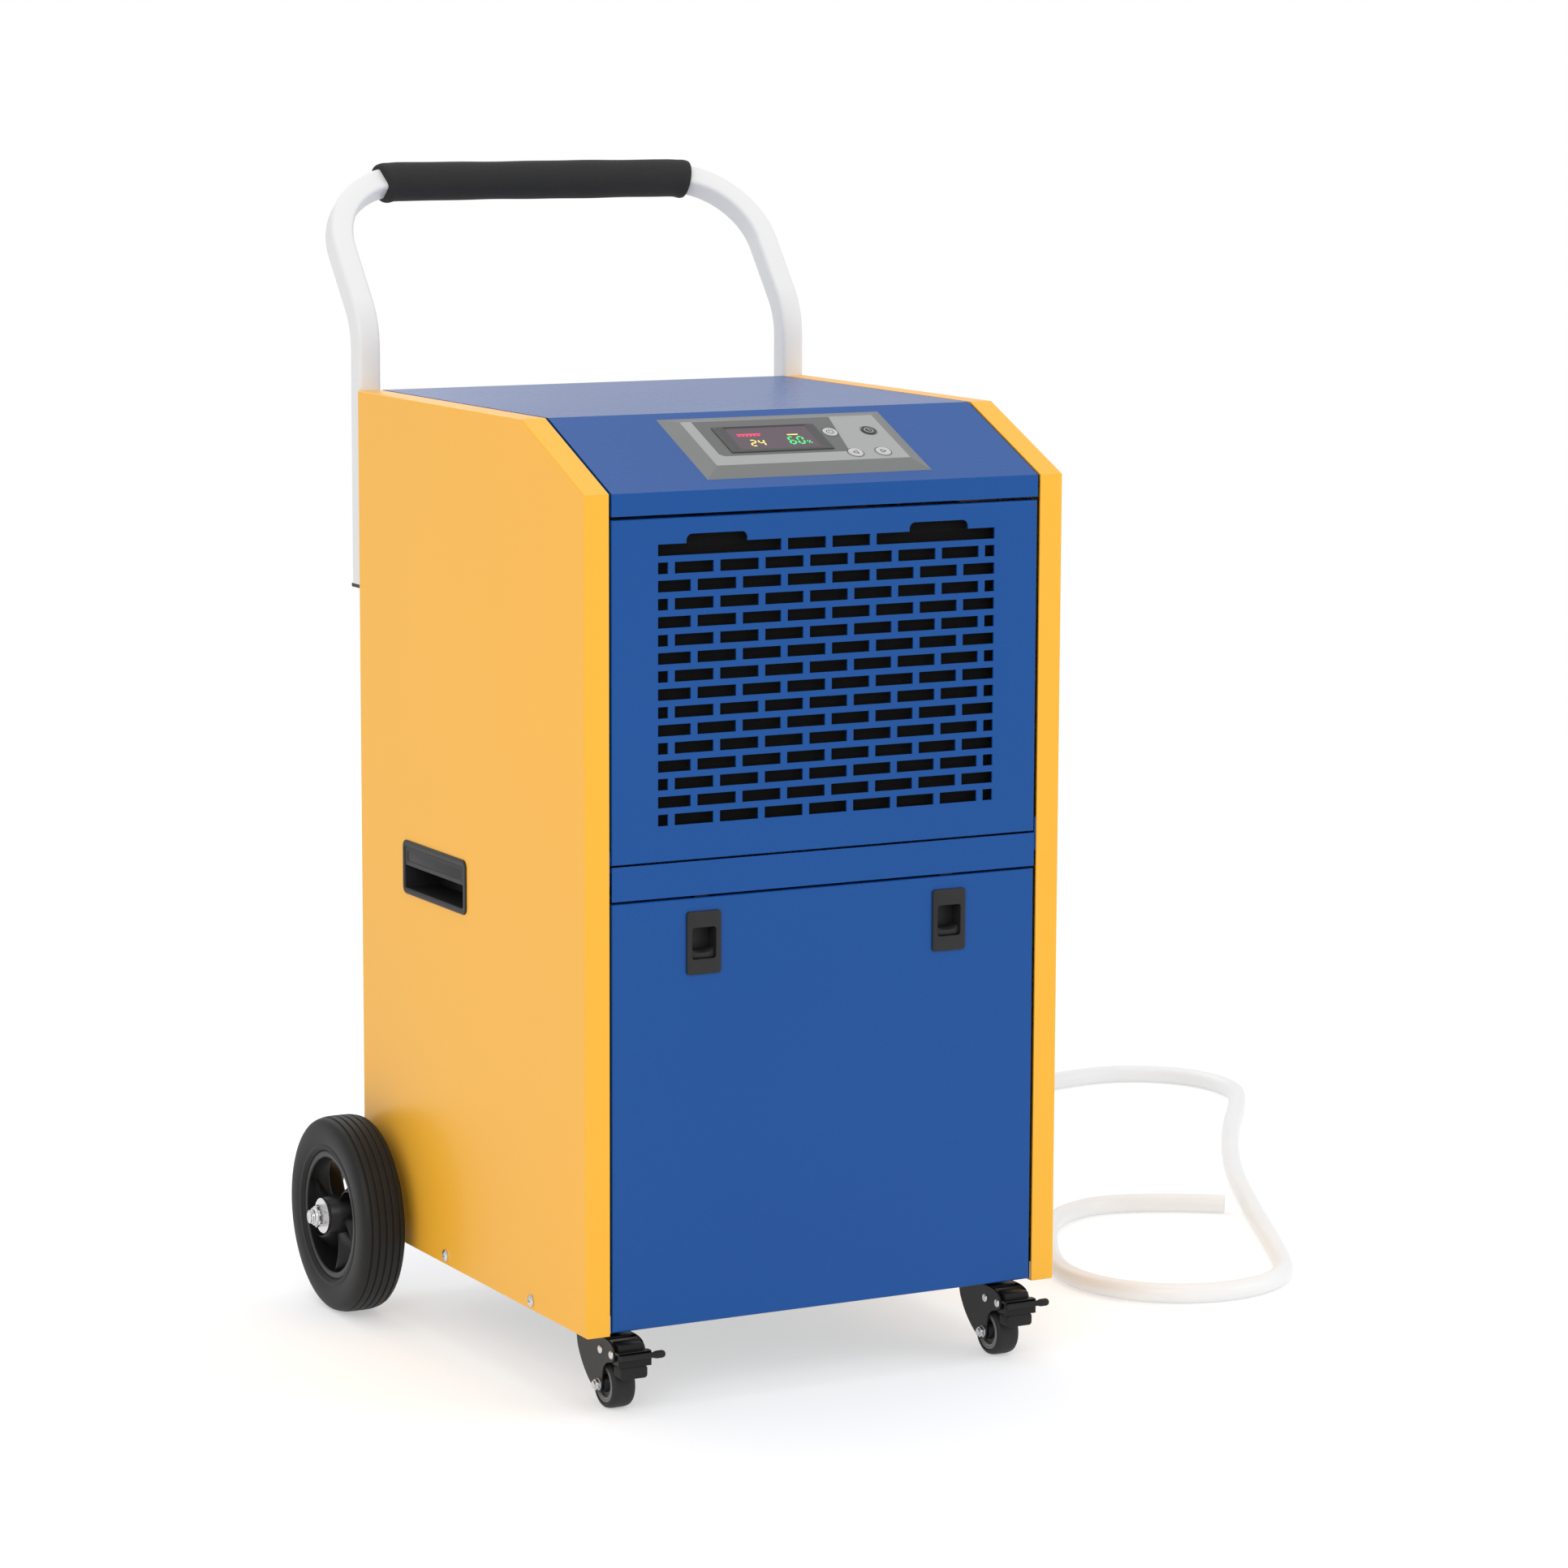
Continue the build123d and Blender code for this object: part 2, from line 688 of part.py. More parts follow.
def air_filter():
    """The filter: a flat frame round a fine mesh, shown as a thin sheet."""
    inner = filter_half - filter_bar
    y0, y1 = sheet, sheet + 8.0
    z0, z1 = grille_z0 + 14.0, grille_z1 - 5.0
    frame = span(-filter_half, filter_half, y0, y1, z0, z1)
    frame -= span(-inner, inner, y0 - 1, y1 + 1, z0 + filter_bar, z1 - filter_bar)
    return frame + span(-inner, inner, y1 - 3.0, y1 - 2.0, z0 + filter_bar, z1 - filter_bar)


save("grille_panel", grille_panel())
save("air_filter", air_filter())
save("front_door", front_door())
save("latch_housings", latch_housing(-latch_x), latch_housing(latch_x))
save("left_latch_slider", latch_slider(-latch_x))
save("right_latch_slider", latch_slider(latch_x))


# ---- control unit -----------------------------------------------------------------------------
def control_bezel():
    """The raised control face with its bevelled border, screen recess and button holes."""
    foot = Rectangle(bezel_width, bezel_height)
    crown = Rectangle(bezel_width - 2 * bezel_slope, bezel_height - 2 * bezel_slope)
    bezel = loft([Pos(0, bezel_v, 0) * foot, Pos(0, bezel_v, bezel_rise) * crown])
    wall = 2.0
    skirt = Pos(0, bezel_v, -5) * Box(skirt_u - 1, skirt_v - 1, 10)
    skirt -= Pos(0, bezel_v, -5) * Box(skirt_u - 1 - 2 * wall, skirt_v - 1 - 2 * wall, 12)
    bezel += skirt
    bezel -= Pos(screen_u, screen_v, bezel_rise) * Box(screen_width, screen_height, 4)
    bezel -= Pos(screen_u, screen_v, 0) * Box(screen_width - 10, screen_height - 10, 20)
    for u, v in buttons.values():
        bezel -= Pos(u, v, 0) * Cylinder(button_r + 0.3, 20)
    return slope * bezel


def push_button(u, v):
    """A round button with the stem that presses the board's switch."""
    cap = Pos(u, v, bezel_rise - 1.6) * Cylinder(button_r, 4.8)
    cap = fillet(cap.edges().sort_by(Axis.Z)[-1], 0.6)
    stem = Pos(u, v, -4.0) * Cylinder(1.8, 11.0)
    return slope * (cap + stem)


def control_board():
    """The circuit board under the control face, with its display block."""
    board = Pos(0, bezel_v, -13.2) * Box(skirt_u - 8, skirt_v - 8, 1.6)
    block = Pos(screen_u, screen_v, -6.6) * Box(screen_width - 12, screen_height - 12, 12)
    return slope * (board + block)


save("control_bezel", control_bezel())
window_plate = Pos(screen_u, screen_v, bezel_rise - 0.9) * Box(screen_width, screen_height, 2.0)
save("display_window", slope * window_plate)
save("control_board", control_board())
for name, (u, v) in buttons.items():
    save(name, push_button(u, v))


# ---- air path ---------------------------------------------------------------------------------
def finned_coil(y0):
    """A finned block with its end plates and the return bends of its tubes."""
    y1 = y0 + coil_thickness
    half = coil_width / 2
    coil = span(-half, half, y0 + 2, y1 - 2, coil_z + 2, coil_z + coil_height - 2)
    for x in (-half, half):
        coil += span(x - 1, x + 1, y0, y1, coil_z, coil_z + coil_height)
    bend = Torus(14.0, 4.5, minor_end_angle=360, major_angle=180)
    bends = 5
    for i in range(bends):
        z = coil_z + coil_height * (i + 0.5) / bends
        coil += Pos(half + 0.5, (y0 + y1) / 2, z) * Rot(0, 90, 90) * bend
    return coil


def drip_tray():
    """The tray under the cooling coil."""
    z0 = shelf_z + sheet
    tray = span(-165, 165, coil_y - 8, coil_y + 98, z0, coil_z - 2)
    return tray - span(-163, 163, coil_y - 6, coil_y + 96, z0 + 2, coil_z)


def fan_shroud():
    """The plate and ring round the fan, with the arms that carry the motor."""
    ring_r = fan_r + fan_gap
    plate = span(-190, 190, fan_y - 22, fan_y - 20, shelf_z + sheet, shroud_top)
    plate -= rod_y(0, fan_y - 23, fan_y - 19, fan_z, ring_r)
    ring = rod_y(0, fan_y - 20, fan_y + 20, fan_z, ring_r + 2)
    ring -= rod_y(0, fan_y - 21, fan_y + 21, fan_z, ring_r)
    disc = rod_y(0, fan_y + 20, fan_y + 24, fan_z, motor_r + 3)
    disc -= rod_y(0, fan_y + 19, fan_y + 25, fan_z, 8)
    shroud = plate + ring + disc
    for i in range(3):
        arm = span(-6, 6, fan_y + 17, fan_y + 21, motor_r, ring_r + 1)
        shroud += Pos(0, 0, fan_z) * Rot(0, 120 * i, 0) * arm
    return shroud


def fan_impeller():
    """Hub and pitched blades of the axial fan."""
    shaft_hole = rod_y(0, -20, 20, 0, 4 + running_fit)
    fan = rod_y(0, -12, 12, 0, fan_hub_r)
    blades = []
    for i in range(fan_blades):
        blade = Pos(0, 0, (fan_hub_r + fan_r) / 2) * Rot(0, 0, 30) * Box(62, 2.4, fan_r - fan_hub_r + 16)
        blades.append(Rot(0, 360 / fan_blades * i, 0) * blade)
    fan = (fan + blades) & rod_y(0, -14, 14, 0, fan_r)
    return Pos(0, fan_y, fan_z) * (fan - shaft_hole)


def fan_motor():
    """The fan's motor and shaft."""
    body = rod_y(0, fan_y + 24, fan_y + 84, fan_z, motor_r)
    return body + rod_y(0, fan_y - 14, fan_y + 24, fan_z, 4)


save("evaporator", finned_coil(coil_y))
save("condenser", finned_coil(coil_y2))
save("drip_tray", drip_tray())
save("fan_shroud", fan_shroud())
save("fan_impeller", fan_impeller())
save("fan_motor", fan_motor())


# ---- compressor, tank and electrics -----------------------------------------------------------
def compressor():
    """The compressor's welded shell on its foot plate."""
    z0 = pan_z + pan_sheet + foot_height
    shell = rod_z(compressor_x, compressor_y, z0 + 3, z0 + compressor_height, compressor_r)
    ends = shell.edges().filter_by(GeomType.CIRCLE)
    shell = fillet(ends, 22)
    triangle = extrude(RegularPolygon(foot_circle + 14, 3), 1.5, both=True)
    foot = Pos(compressor_x, compressor_y, z0 + 1.5) * triangle
    foot &= rod_z(compressor_x, compressor_y, z0, z0 + 3, foot_circle + 8)
    return shell + foot + rod_z(compressor_x, compressor_y, z0 + 3, z0 + 30, compressor_r * 0.6)


def compressor_feet():
    """Three rubber feet under the corners of the foot plate."""
    feet = []
    for i in range(3):
        a = math.radians(120 * i)
        x = compressor_x + foot_circle * math.cos(a)
        y = compressor_y + foot_circle * math.sin(a)
        feet.append(rod_z(x, y, pan_z + pan_sheet, pan_z + pan_sheet + foot_height, 9))
    return feet


def bent_tube(points, radius, r):
    """A round tube along straight runs joined by arcs of one radius."""
    path = FilletPolyline(*points, radius=radius)
    start = Plane(origin=points[0], z_dir=path % 0)
    return sweep(start * Circle(r), path=path)


def refrigerant_pipes():
    """Hot-gas and suction pipes between the compressor, the coils and the accumulator."""
    top = pan_z + pan_sheet + foot_height + compressor_height
    condenser_top = coil_z + coil_height + 14
    suction_top = accumulator_z1
    hot = [
        (compressor_x, compressor_y, top),
        (compressor_x, compressor_y, top + 40),
        (-pipe_x, pipe_y, top + 60),
        (-pipe_x, pipe_y, condenser_top),
        (-pipe_x, coil_y2 + coil_thickness / 2, condenser_top),
        (-pipe_x, coil_y2 + coil_thickness / 2, coil_z + coil_height),
    ]
    cold = [
        (accumulator_x, compressor_y, suction_top),
        (accumulator_x, compressor_y, suction_top + 50),
        (pipe_x, pipe_y, suction_top + 80),
        (pipe_x, pipe_y, condenser_top + 14),
        (pipe_x, coil_y + coil_thickness / 2, condenser_top + 14),
        (pipe_x, coil_y + coil_thickness / 2, coil_z + coil_height),
    ]
    return [bent_tube(hot, 12, 4), bent_tube(cold, 12, 5)]


def water_tank():
    """The open-topped tank behind the door."""
    half = tank_width / 2
    z0 = pan_z + pan_sheet
    y0 = door_return + 18.0
    outer = span(-half, half, y0, y0 + tank_depth, z0, z0 + tank_height)
    outer = fillet(outer.edges().filter_by(Axis.Z), tank_corner)
    in_x = half - tank_wall
    in_y0, in_y1 = y0 + tank_wall, y0 + tank_depth - tank_wall
    inner = span(-in_x, in_x, in_y0, in_y1, z0 + tank_wall, z0 + tank_height + 1)
    return outer - fillet(inner.edges().filter_by(Axis.Z), tank_corner - tank_wall)


def float_bracket():
    """The float's bracket on the bay wall, with its pin and switch box."""
    z = float_pivot_z
    back = span(float_x - 14, float_x + 14, bay_wall_y - 4, bay_wall_y, z - 12, z + 14)
    cheeks = []
    for x in (float_x - 8, float_x + 8):
        cheeks.append(span(x - 2, x + 2, float_pivot_y - 5, bay_wall_y - 4, z - 6, z + 6))
    return back + cheeks + rod_x(float_x - 8, float_x + 8, float_pivot_y, z, float_pin_r)


def float_arm():
    """The float and the arm that it hangs from."""
    y, z = float_pivot_y, float_pivot_z
    arm = rod_x(float_x - 5, float_x + 5, y, z, 4)
    arm += span(float_x - 2, float_x + 2, y - 44, y - 2, z - 2, z + 2)
    arm += span(float_x - 2, float_x + 2, y - 44, y - 40, z - 26, z + 2)
    arm += rod_z(float_x, y - 42, z - 46, z - 24, 12)
    return arm - rod_x(float_x - 6, float_x + 6, y, z, float_pin_r + running_fit)


save("compressor", compressor())
save("compressor_feet", *compressor_feet())
accumulator = rod_z(accumulator_x, compressor_y, accumulator_z0, accumulator_z1, accumulator_r)
accumulator = fillet(accumulator.edges().filter_by(GeomType.CIRCLE), 10)
strap = span(accumulator_x - 8, accumulator_x + 8, bay_wall_y + sheet, compressor_y - 20, 180, 200)
save("accumulator", accumulator + strap)
save("refrigerant_pipes", *refrigerant_pipes())
box_z0 = shelf_z + sheet
box_z1 = box_z0 + electrics_height
electrical_box = span(60, 180, 300, 400, box_z0, box_z1)
electrical_box -= span(62, 178, 302, 398, box_z0 + 2, box_z1 - 2)
save("electrical_box", electrical_box)
save("water_tank", water_tank())
save("float_switch", float_bracket())
save("float_arm", float_arm())


# ---- rear wheels ------------------------------------------------------------------------------
def tyre():
    """The right tyre: crowned, grooved tread and bulged side walls."""
    middle = (wheel_x0 + wheel_x1) / 2
    half = wheel_width / 2
    section = [
        (middle - half + 4, bead_r),
        (middle - half + 1, bead_r + 6),
        (middle - half, wheel_r - 14),
        (middle - half + 2, wheel_r - 5),
        (middle - half + 6, wheel_r - 1.2),
    ]
    groove_half, groove_depth = 1.1, 3.0
    for place in (-9.0, -3.0, 3.0, 9.0):
        level = wheel_r - 0.3 if abs(place) < 6 else wheel_r - 0.7
        section += [
            (middle + place - groove_half, level),
            (middle + place - groove_half, wheel_r - groove_depth),
            (middle + place + groove_half, wheel_r - groove_depth),
            (middle + place + groove_half, level),
        ]
        if place == -3.0:
            section.append((middle, wheel_r))
    section += [(2 * middle - x, r) for x, r in reversed(section[:5])]
    return turned_x(section, axle_y, wheel_r)


def hub():
    """The right wheel's hub: rim, boss and swept spokes."""
    middle = (wheel_x0 + wheel_x1) / 2
    half = wheel_width / 2
    rim_section = [
        (middle - half + 4, rim_hole_r),
        (middle - half + 4, bead_r),
        (middle + half - 4, bead_r),
        (middle + half - 4, rim_hole_r),
    ]
    wheel = turned_x(rim_section, axle_y, wheel_r)
    wheel += rod_x(boss_x0 + moving_gap, boss_x1, axle_y, wheel_r, boss_r)
    blades = []
    for i in range(spokes):
        spoke = span(middle - 3, middle + half - 8, -8, 8, boss_r - 4, rim_hole_r + 2)
        blades.append(Pos(0, axle_y, wheel_r) * Rot(360 / spokes * i, 0, 0) * spoke)
    return wheel + blades - rod_x(boss_x0 - 1, boss_x1 + 1, axle_y, wheel_r, axle_r + running_fit)


def axle_washer(x0, x1):
    """A flat washer on the axle."""
    return rod_x(x0, x1, axle_y, wheel_r, washer_r) - rod_x(x0 - 1, x1 + 1, axle_y, wheel_r, axle_r)


def axle_nut():
    """The right locking nut: six flats and a rounded collar."""
    hexagon = extrude(RegularPolygon(nut_flats / 2, 6, major_radius=False), nut_height * 0.75)
    collar = rod_z(0, 0, nut_height * 0.75, nut_height, nut_flats * 0.45)
    nut = hexagon + collar - Cylinder(axle_r, 4 * nut_height)
    return Pos(washer_x1, axle_y, wheel_r) * Rot(0, 90, 0) * nut


fasteners = [
    axle_washer(half_width, boss_x0),
    axle_washer(boss_x1 + moving_gap, washer_x1),
    axle_nut(),
]
save("rear_axle", rod_x(-axle_end, axle_end, axle_y, wheel_r, axle_r))
save("axle_fasteners", *[piece for f in fasteners for piece in (f, mirrored(f))])
save("right_tyre", tyre())
save("right_hub", hub())
save("left_tyre", mirrored(tyre()))
save("left_hub", mirrored(hub()))


# ---- casters ----------------------------------------------------------------------------------
def caster_plate(x):
    """The fixed plate of a caster with its kingpin."""
    plate_z0 = pan_z - 2.0
    plate = span(x - plate_half, x + plate_half, kingpin_y - 25, kingpin_y + 25, plate_z0, pan_z)
    under = fork_z1 - fork_top
    pin = rod_z(x, kingpin_y, under - 2.5, plate_z0, kingpin_r)
    return plate + pin + rod_z(x, kingpin_y, under - 4.5, under - moving_gap, 6.5)


def caster_fork(x):
    """The swivelling fork: race, top plate and two cheeks."""
    outline = [
        (kingpin_y + 20, fork_z1),
        (kingpin_y + 20, 46),
        (kingpin_y + 9, 26),
        (caster_axle_y + 9, 14),
        (caster_axle_y, 12),
        (caster_axle_y - 6, 16),
        (caster_axle_y - 6, 30),
        (caster_axle_y - 11, 41),
        (pedal_pivot_y - 4, 43),
        (pedal_pivot_y - 6, 49),
        (pedal_pivot_y - 4, 55),
        (pedal_pivot_y + 4, fork_z1),
    ]
    fork = span(x - cheek_x0, x + cheek_x0, 16, kingpin_y + 20, fork_z1 - fork_top, fork_z1)
    for side in (-1, 1):
        edges = sorted((x + side * cheek_x0, x + side * cheek_x1))
        fork += prism_x(outline, *edges)
    fork += rod_z(x, kingpin_y, fork_z1, pan_z - 2 - moving_gap, 15)
    fork -= rod_z(x, kingpin_y, fork_z1 - 10, pan_z, kingpin_r + running_fit)
    fork -= rod_x(x - 20, x + 20, caster_axle_y, caster_r, caster_axle_r)
    for y in rivet_places:
        fork -= rod_x(x - 20, x + 20, y, pedal_pivot_z, rivet_r)
    return fork


def caster_wheel(x):
    """The caster's wheel: a crowned tread on a recessed core."""
    half = caster_width / 2
    section = [
        (x - half - 1.6, caster_axle_r + running_fit),
        (x - half - 1.6, 6),
        (x - half + 3, 7),
        (x - half + 3, 11),
        (x - half + 0.6, 12.5),
        (x - half, 16),
        (x - half + 2.2, caster_r - 0.9),
        (x - half + 5, caster_r),
    ]
    section += [(2 * x - px, r) for px, r in reversed(section)]
    return turned_x(section, caster_axle_y, caster_r)


def caster_pins(x):
    """The axle bolt with its head and nut, the brake's pivot rivet and the stop rivet."""
    head = caster_axle_r + 1.8
    bolt = rod_x(x - cheek_x1 - 5, x + cheek_x1 + 3, caster_axle_y, caster_r, caster_axle_r)
    bolt += rod_x(x + cheek_x1, x + cheek_x1 + 3, caster_axle_y, caster_r, head)
    hexagon = extrude(RegularPolygon(head, 6), 3.6)
    bolt += Pos(x - cheek_x1 - 3.6, caster_axle_y, caster_r) * Rot(0, 90, 0) * hexagon
    pins = [bolt]
    for y in rivet_places:
        rivet = rod_x(x - cheek_x1 - 1.4, x + cheek_x1 + 1.4, y, pedal_pivot_z, rivet_r)
        for side in (-1, 1):
            ends = sorted((x + side * cheek_x1, x + side * (cheek_x1 + 1.4)))
            rivet += rod_x(*ends, y, pedal_pivot_z, rivet_r + 1.3)
        pins.append(rivet)
    return pins


def brake_pedal(x):
    """The brake: pivoted plate, stepped front, shoe and side lever."""
    y, z = pedal_pivot_y, pedal_pivot_z
    pedal = span(x - 10.5, x + 10.5, y - 7.5, y + 5.5, z + 7.5, z + 9)
    pedal += span(x - 10.5, x + 10.5, y - 9, y - 7.5, z + 2.5, z + 9)
    pedal += span(x - 14.5, x + 14.5, y - 14.5, y - 7.9, z + 2.5, z + 4.1)
    pedal += span(x - 14.5, x + 14.5, y - 14.5, y - 12.9, z - 8, z + 4.1)
    pedal += span(x - 11.5, x + 11.5, y - 13.5, y - 0.5, z - 18, z - 8)
    for side in (-1, 1):
        edges = sorted((x + side * 9.0, x + side * 10.5))
        pedal += span(*edges, y - 8, y + 5.5, z - 9, z + 8)
    pedal -= rod_x(x - 12, x + 12, y, z, rivet_r + running_fit)
    lever = rod_x(x - 14, x + 18, lever_y, z + 0.5, lever_r)
    tip = rod_x(x + 16, x + 25, lever_y, z + 0.5, tip_r)
    tip = fillet(tip.edges().filter_by(GeomType.CIRCLE), tip_r * 0.8)
    return pedal + lever + tip


save("caster_plates", caster_plate(-caster_x), caster_plate(caster_x))
for side, x in (("left", -caster_x), ("right", caster_x)):
    save(f"{side}_caster_fork", caster_fork(x))
    save(f"{side}_caster_wheel", caster_wheel(x))
    save(f"{side}_caster_pins", *caster_pins(x))
    save(f"{side}_brake_pedal", brake_pedal(x))


# ---- drain and cord inlet ---------------------------------------------------------------------
def drain_hose():
    """The drain hose along its route, as straight runs joined by the largest arcs that fit."""
    runs = [Vector(*b) - Vector(*a) for a, b in zip(hose_route, hose_route[1:])]
    radii = []
    for before, after in zip(runs, runs[1:]):
        half_turn = math.radians(before.get_angle(after)) / 2
        radii.append(0.45 * min(before.length, after.length) / math.tan(half_turn))
    path = FilletPolyline(*hose_route, radius=radii)
    tube = sweep(Plane(origin=hose_route[0], z_dir=runs[0]) * Circle(hose_r), path=path)
    print("hose length", round(path.length, 1))
    return tube


spout = rod_y(spout_x, body_depth - sheet - 2, spout_end, spout_z, spout_r)
spout += rod_y(spout_x, body_depth, body_depth + 3, spout_z, spout_r + 6)
spout -= rod_y(spout_x, body_depth - 10, spout_end - 1, spout_z, spout_r - spout_wall)
gland = rod_y(gland_x, body_depth - sheet - 2, body_depth + 14, gland_z, gland_r)
gland += rod_y(gland_x, body_depth, body_depth + 5, gland_z, gland_r + 4)
gland -= rod_y(gland_x, body_depth - 10, body_depth + 20, gland_z, 4)
save("drain_spout", spout)
save("cord_gland", gland)
save("drain_hose", drain_hose())
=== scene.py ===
"""Looks of a free-standing dehumidifier on wheels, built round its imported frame.

Lengths that belong to a sub-assembly are in millimetres, with depth measured back from the cabinet's
front face. They become metres in the row's frame where a mesh is made.
"""

import json
import logging
import math
from dataclasses import dataclass, field
from enum import Enum
from typing import Iterable, Optional, Sequence, Union

import bpy
import numpy as np
from mathutils import Matrix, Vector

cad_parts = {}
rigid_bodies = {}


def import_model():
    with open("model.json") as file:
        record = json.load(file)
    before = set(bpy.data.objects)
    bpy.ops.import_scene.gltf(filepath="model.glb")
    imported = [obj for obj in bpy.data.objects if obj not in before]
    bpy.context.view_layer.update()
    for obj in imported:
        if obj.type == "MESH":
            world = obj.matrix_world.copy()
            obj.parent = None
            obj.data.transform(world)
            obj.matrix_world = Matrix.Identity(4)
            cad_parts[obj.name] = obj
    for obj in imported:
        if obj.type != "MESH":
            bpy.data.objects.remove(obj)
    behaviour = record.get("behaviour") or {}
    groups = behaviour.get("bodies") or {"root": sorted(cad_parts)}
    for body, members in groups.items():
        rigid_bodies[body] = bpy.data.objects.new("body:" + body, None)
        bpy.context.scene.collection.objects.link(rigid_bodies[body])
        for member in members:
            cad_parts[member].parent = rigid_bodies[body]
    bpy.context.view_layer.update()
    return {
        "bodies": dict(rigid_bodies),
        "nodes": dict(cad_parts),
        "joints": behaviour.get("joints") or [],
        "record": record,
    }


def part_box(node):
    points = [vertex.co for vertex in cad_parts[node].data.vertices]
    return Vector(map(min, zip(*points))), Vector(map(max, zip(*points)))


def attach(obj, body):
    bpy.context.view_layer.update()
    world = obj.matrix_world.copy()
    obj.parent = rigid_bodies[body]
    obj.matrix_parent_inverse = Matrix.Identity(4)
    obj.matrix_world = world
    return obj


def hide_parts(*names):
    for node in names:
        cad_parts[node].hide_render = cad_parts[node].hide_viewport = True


LOG = logging.getLogger("dehumidifier")
MM = 0.001
Colour = tuple[float, float, float]
Number = Union[float, bpy.types.NodeSocket]


# ---- shader node groups and finishes ------------------------------------------------------------
class NodeTree:
    """A node tree with short ways to add and join nodes."""

    def __init__(self, tree: bpy.types.NodeTree) -> None:
        """Keep the tree that nodes are added to.

        Args:
            tree: The material's or group's node tree.
        """
        self.tree = tree

    def add(self, kind: str, inputs: Optional[dict] = None, **settings: object) -> bpy.types.Node:
        """Add one node.

        Args:
            kind: The node's type, without its ShaderNode prefix.
            inputs: Input names or indices, each with a value or the socket that feeds it.
            **settings: Properties of the node.

        Returns:
            The new node.
        """
        node = self.tree.nodes.new(kind if kind.startswith("NodeGroup") else "ShaderNode" + kind)
        for name, value in settings.items():
            setattr(node, name, value)
        for key, value in (inputs or {}).items():
            self.feed(node.inputs[key], value)
        return node

    def feed(self, socket: bpy.types.NodeSocket, value: object) -> None:
        """Set a socket to a constant, or join it to another socket."""
        if isinstance(value, bpy.types.NodeSocket):
            self.tree.links.new(value, socket)
        else:
            socket.default_value = value

    def maths(self, operation: str, a: Number, b: Number = 0.0) -> bpy.types.NodeSocket:
        """Return the result of one Math node on two numbers or sockets."""
        return self.add("Math", {0: a, 1: b}, operation=operation).outputs[0]

    def noise(self, where: bpy.types.NodeSocket, scale: float, detail: float = 2.0) -> bpy.types.NodeSocket:
        """Return the factor of a noise texture at a scale given per metre."""
        inputs = {"Vector": where, "Scale": scale, "Detail": detail}
        return self.add("TexNoise", inputs).outputs["Fac"]

    def remap(self, value: bpy.types.NodeSocket, low: float, high: float) -> bpy.types.NodeSocket:
        """Return a value from 0 to 1 moved to the span from low to high."""
        return self.add("MapRange", {"Value": value, "To Min": low, "To Max": high}).outputs[0]

    def blend(self, mask: Number, a: object, b: object) -> bpy.types.NodeSocket:
        """Return colour a where the mask is 0 and colour b where it is 1."""
        node = self.add("Mix", data_type="RGBA")
        self.feed(node.inputs[0], mask)
        self.feed(node.inputs[6], a)
        self.feed(node.inputs[7], b)
        return node.outputs[2]


class Effect(Enum):
    """The shared shader effects."""

    ORANGE_PEEL = "orange_peel"
    HANDLING = "handling_marks"
    MOULD_GRAIN = "mould_grain"
    LINES = "fine_lines"


def new_group(name: str, inputs: Sequence[tuple[str, str]], outputs: Sequence[str]) -> bpy.types.NodeTree:
    """Start a shader node group.

    Args:
        name: The group's name.
        inputs: Name and socket type of each input.
        outputs: Name of each number that the group puts out.

    Returns:
        The group's tree, with its sockets made.
    """
    tree = bpy.data.node_groups.new(name, "ShaderNodeTree")
    for label, kind in inputs:
        tree.interface.new_socket(label, in_out="INPUT", socket_type=kind)
    for label in outputs:
        tree.interface.new_socket(label, in_out="OUTPUT", socket_type="NodeSocketFloat")
    return tree


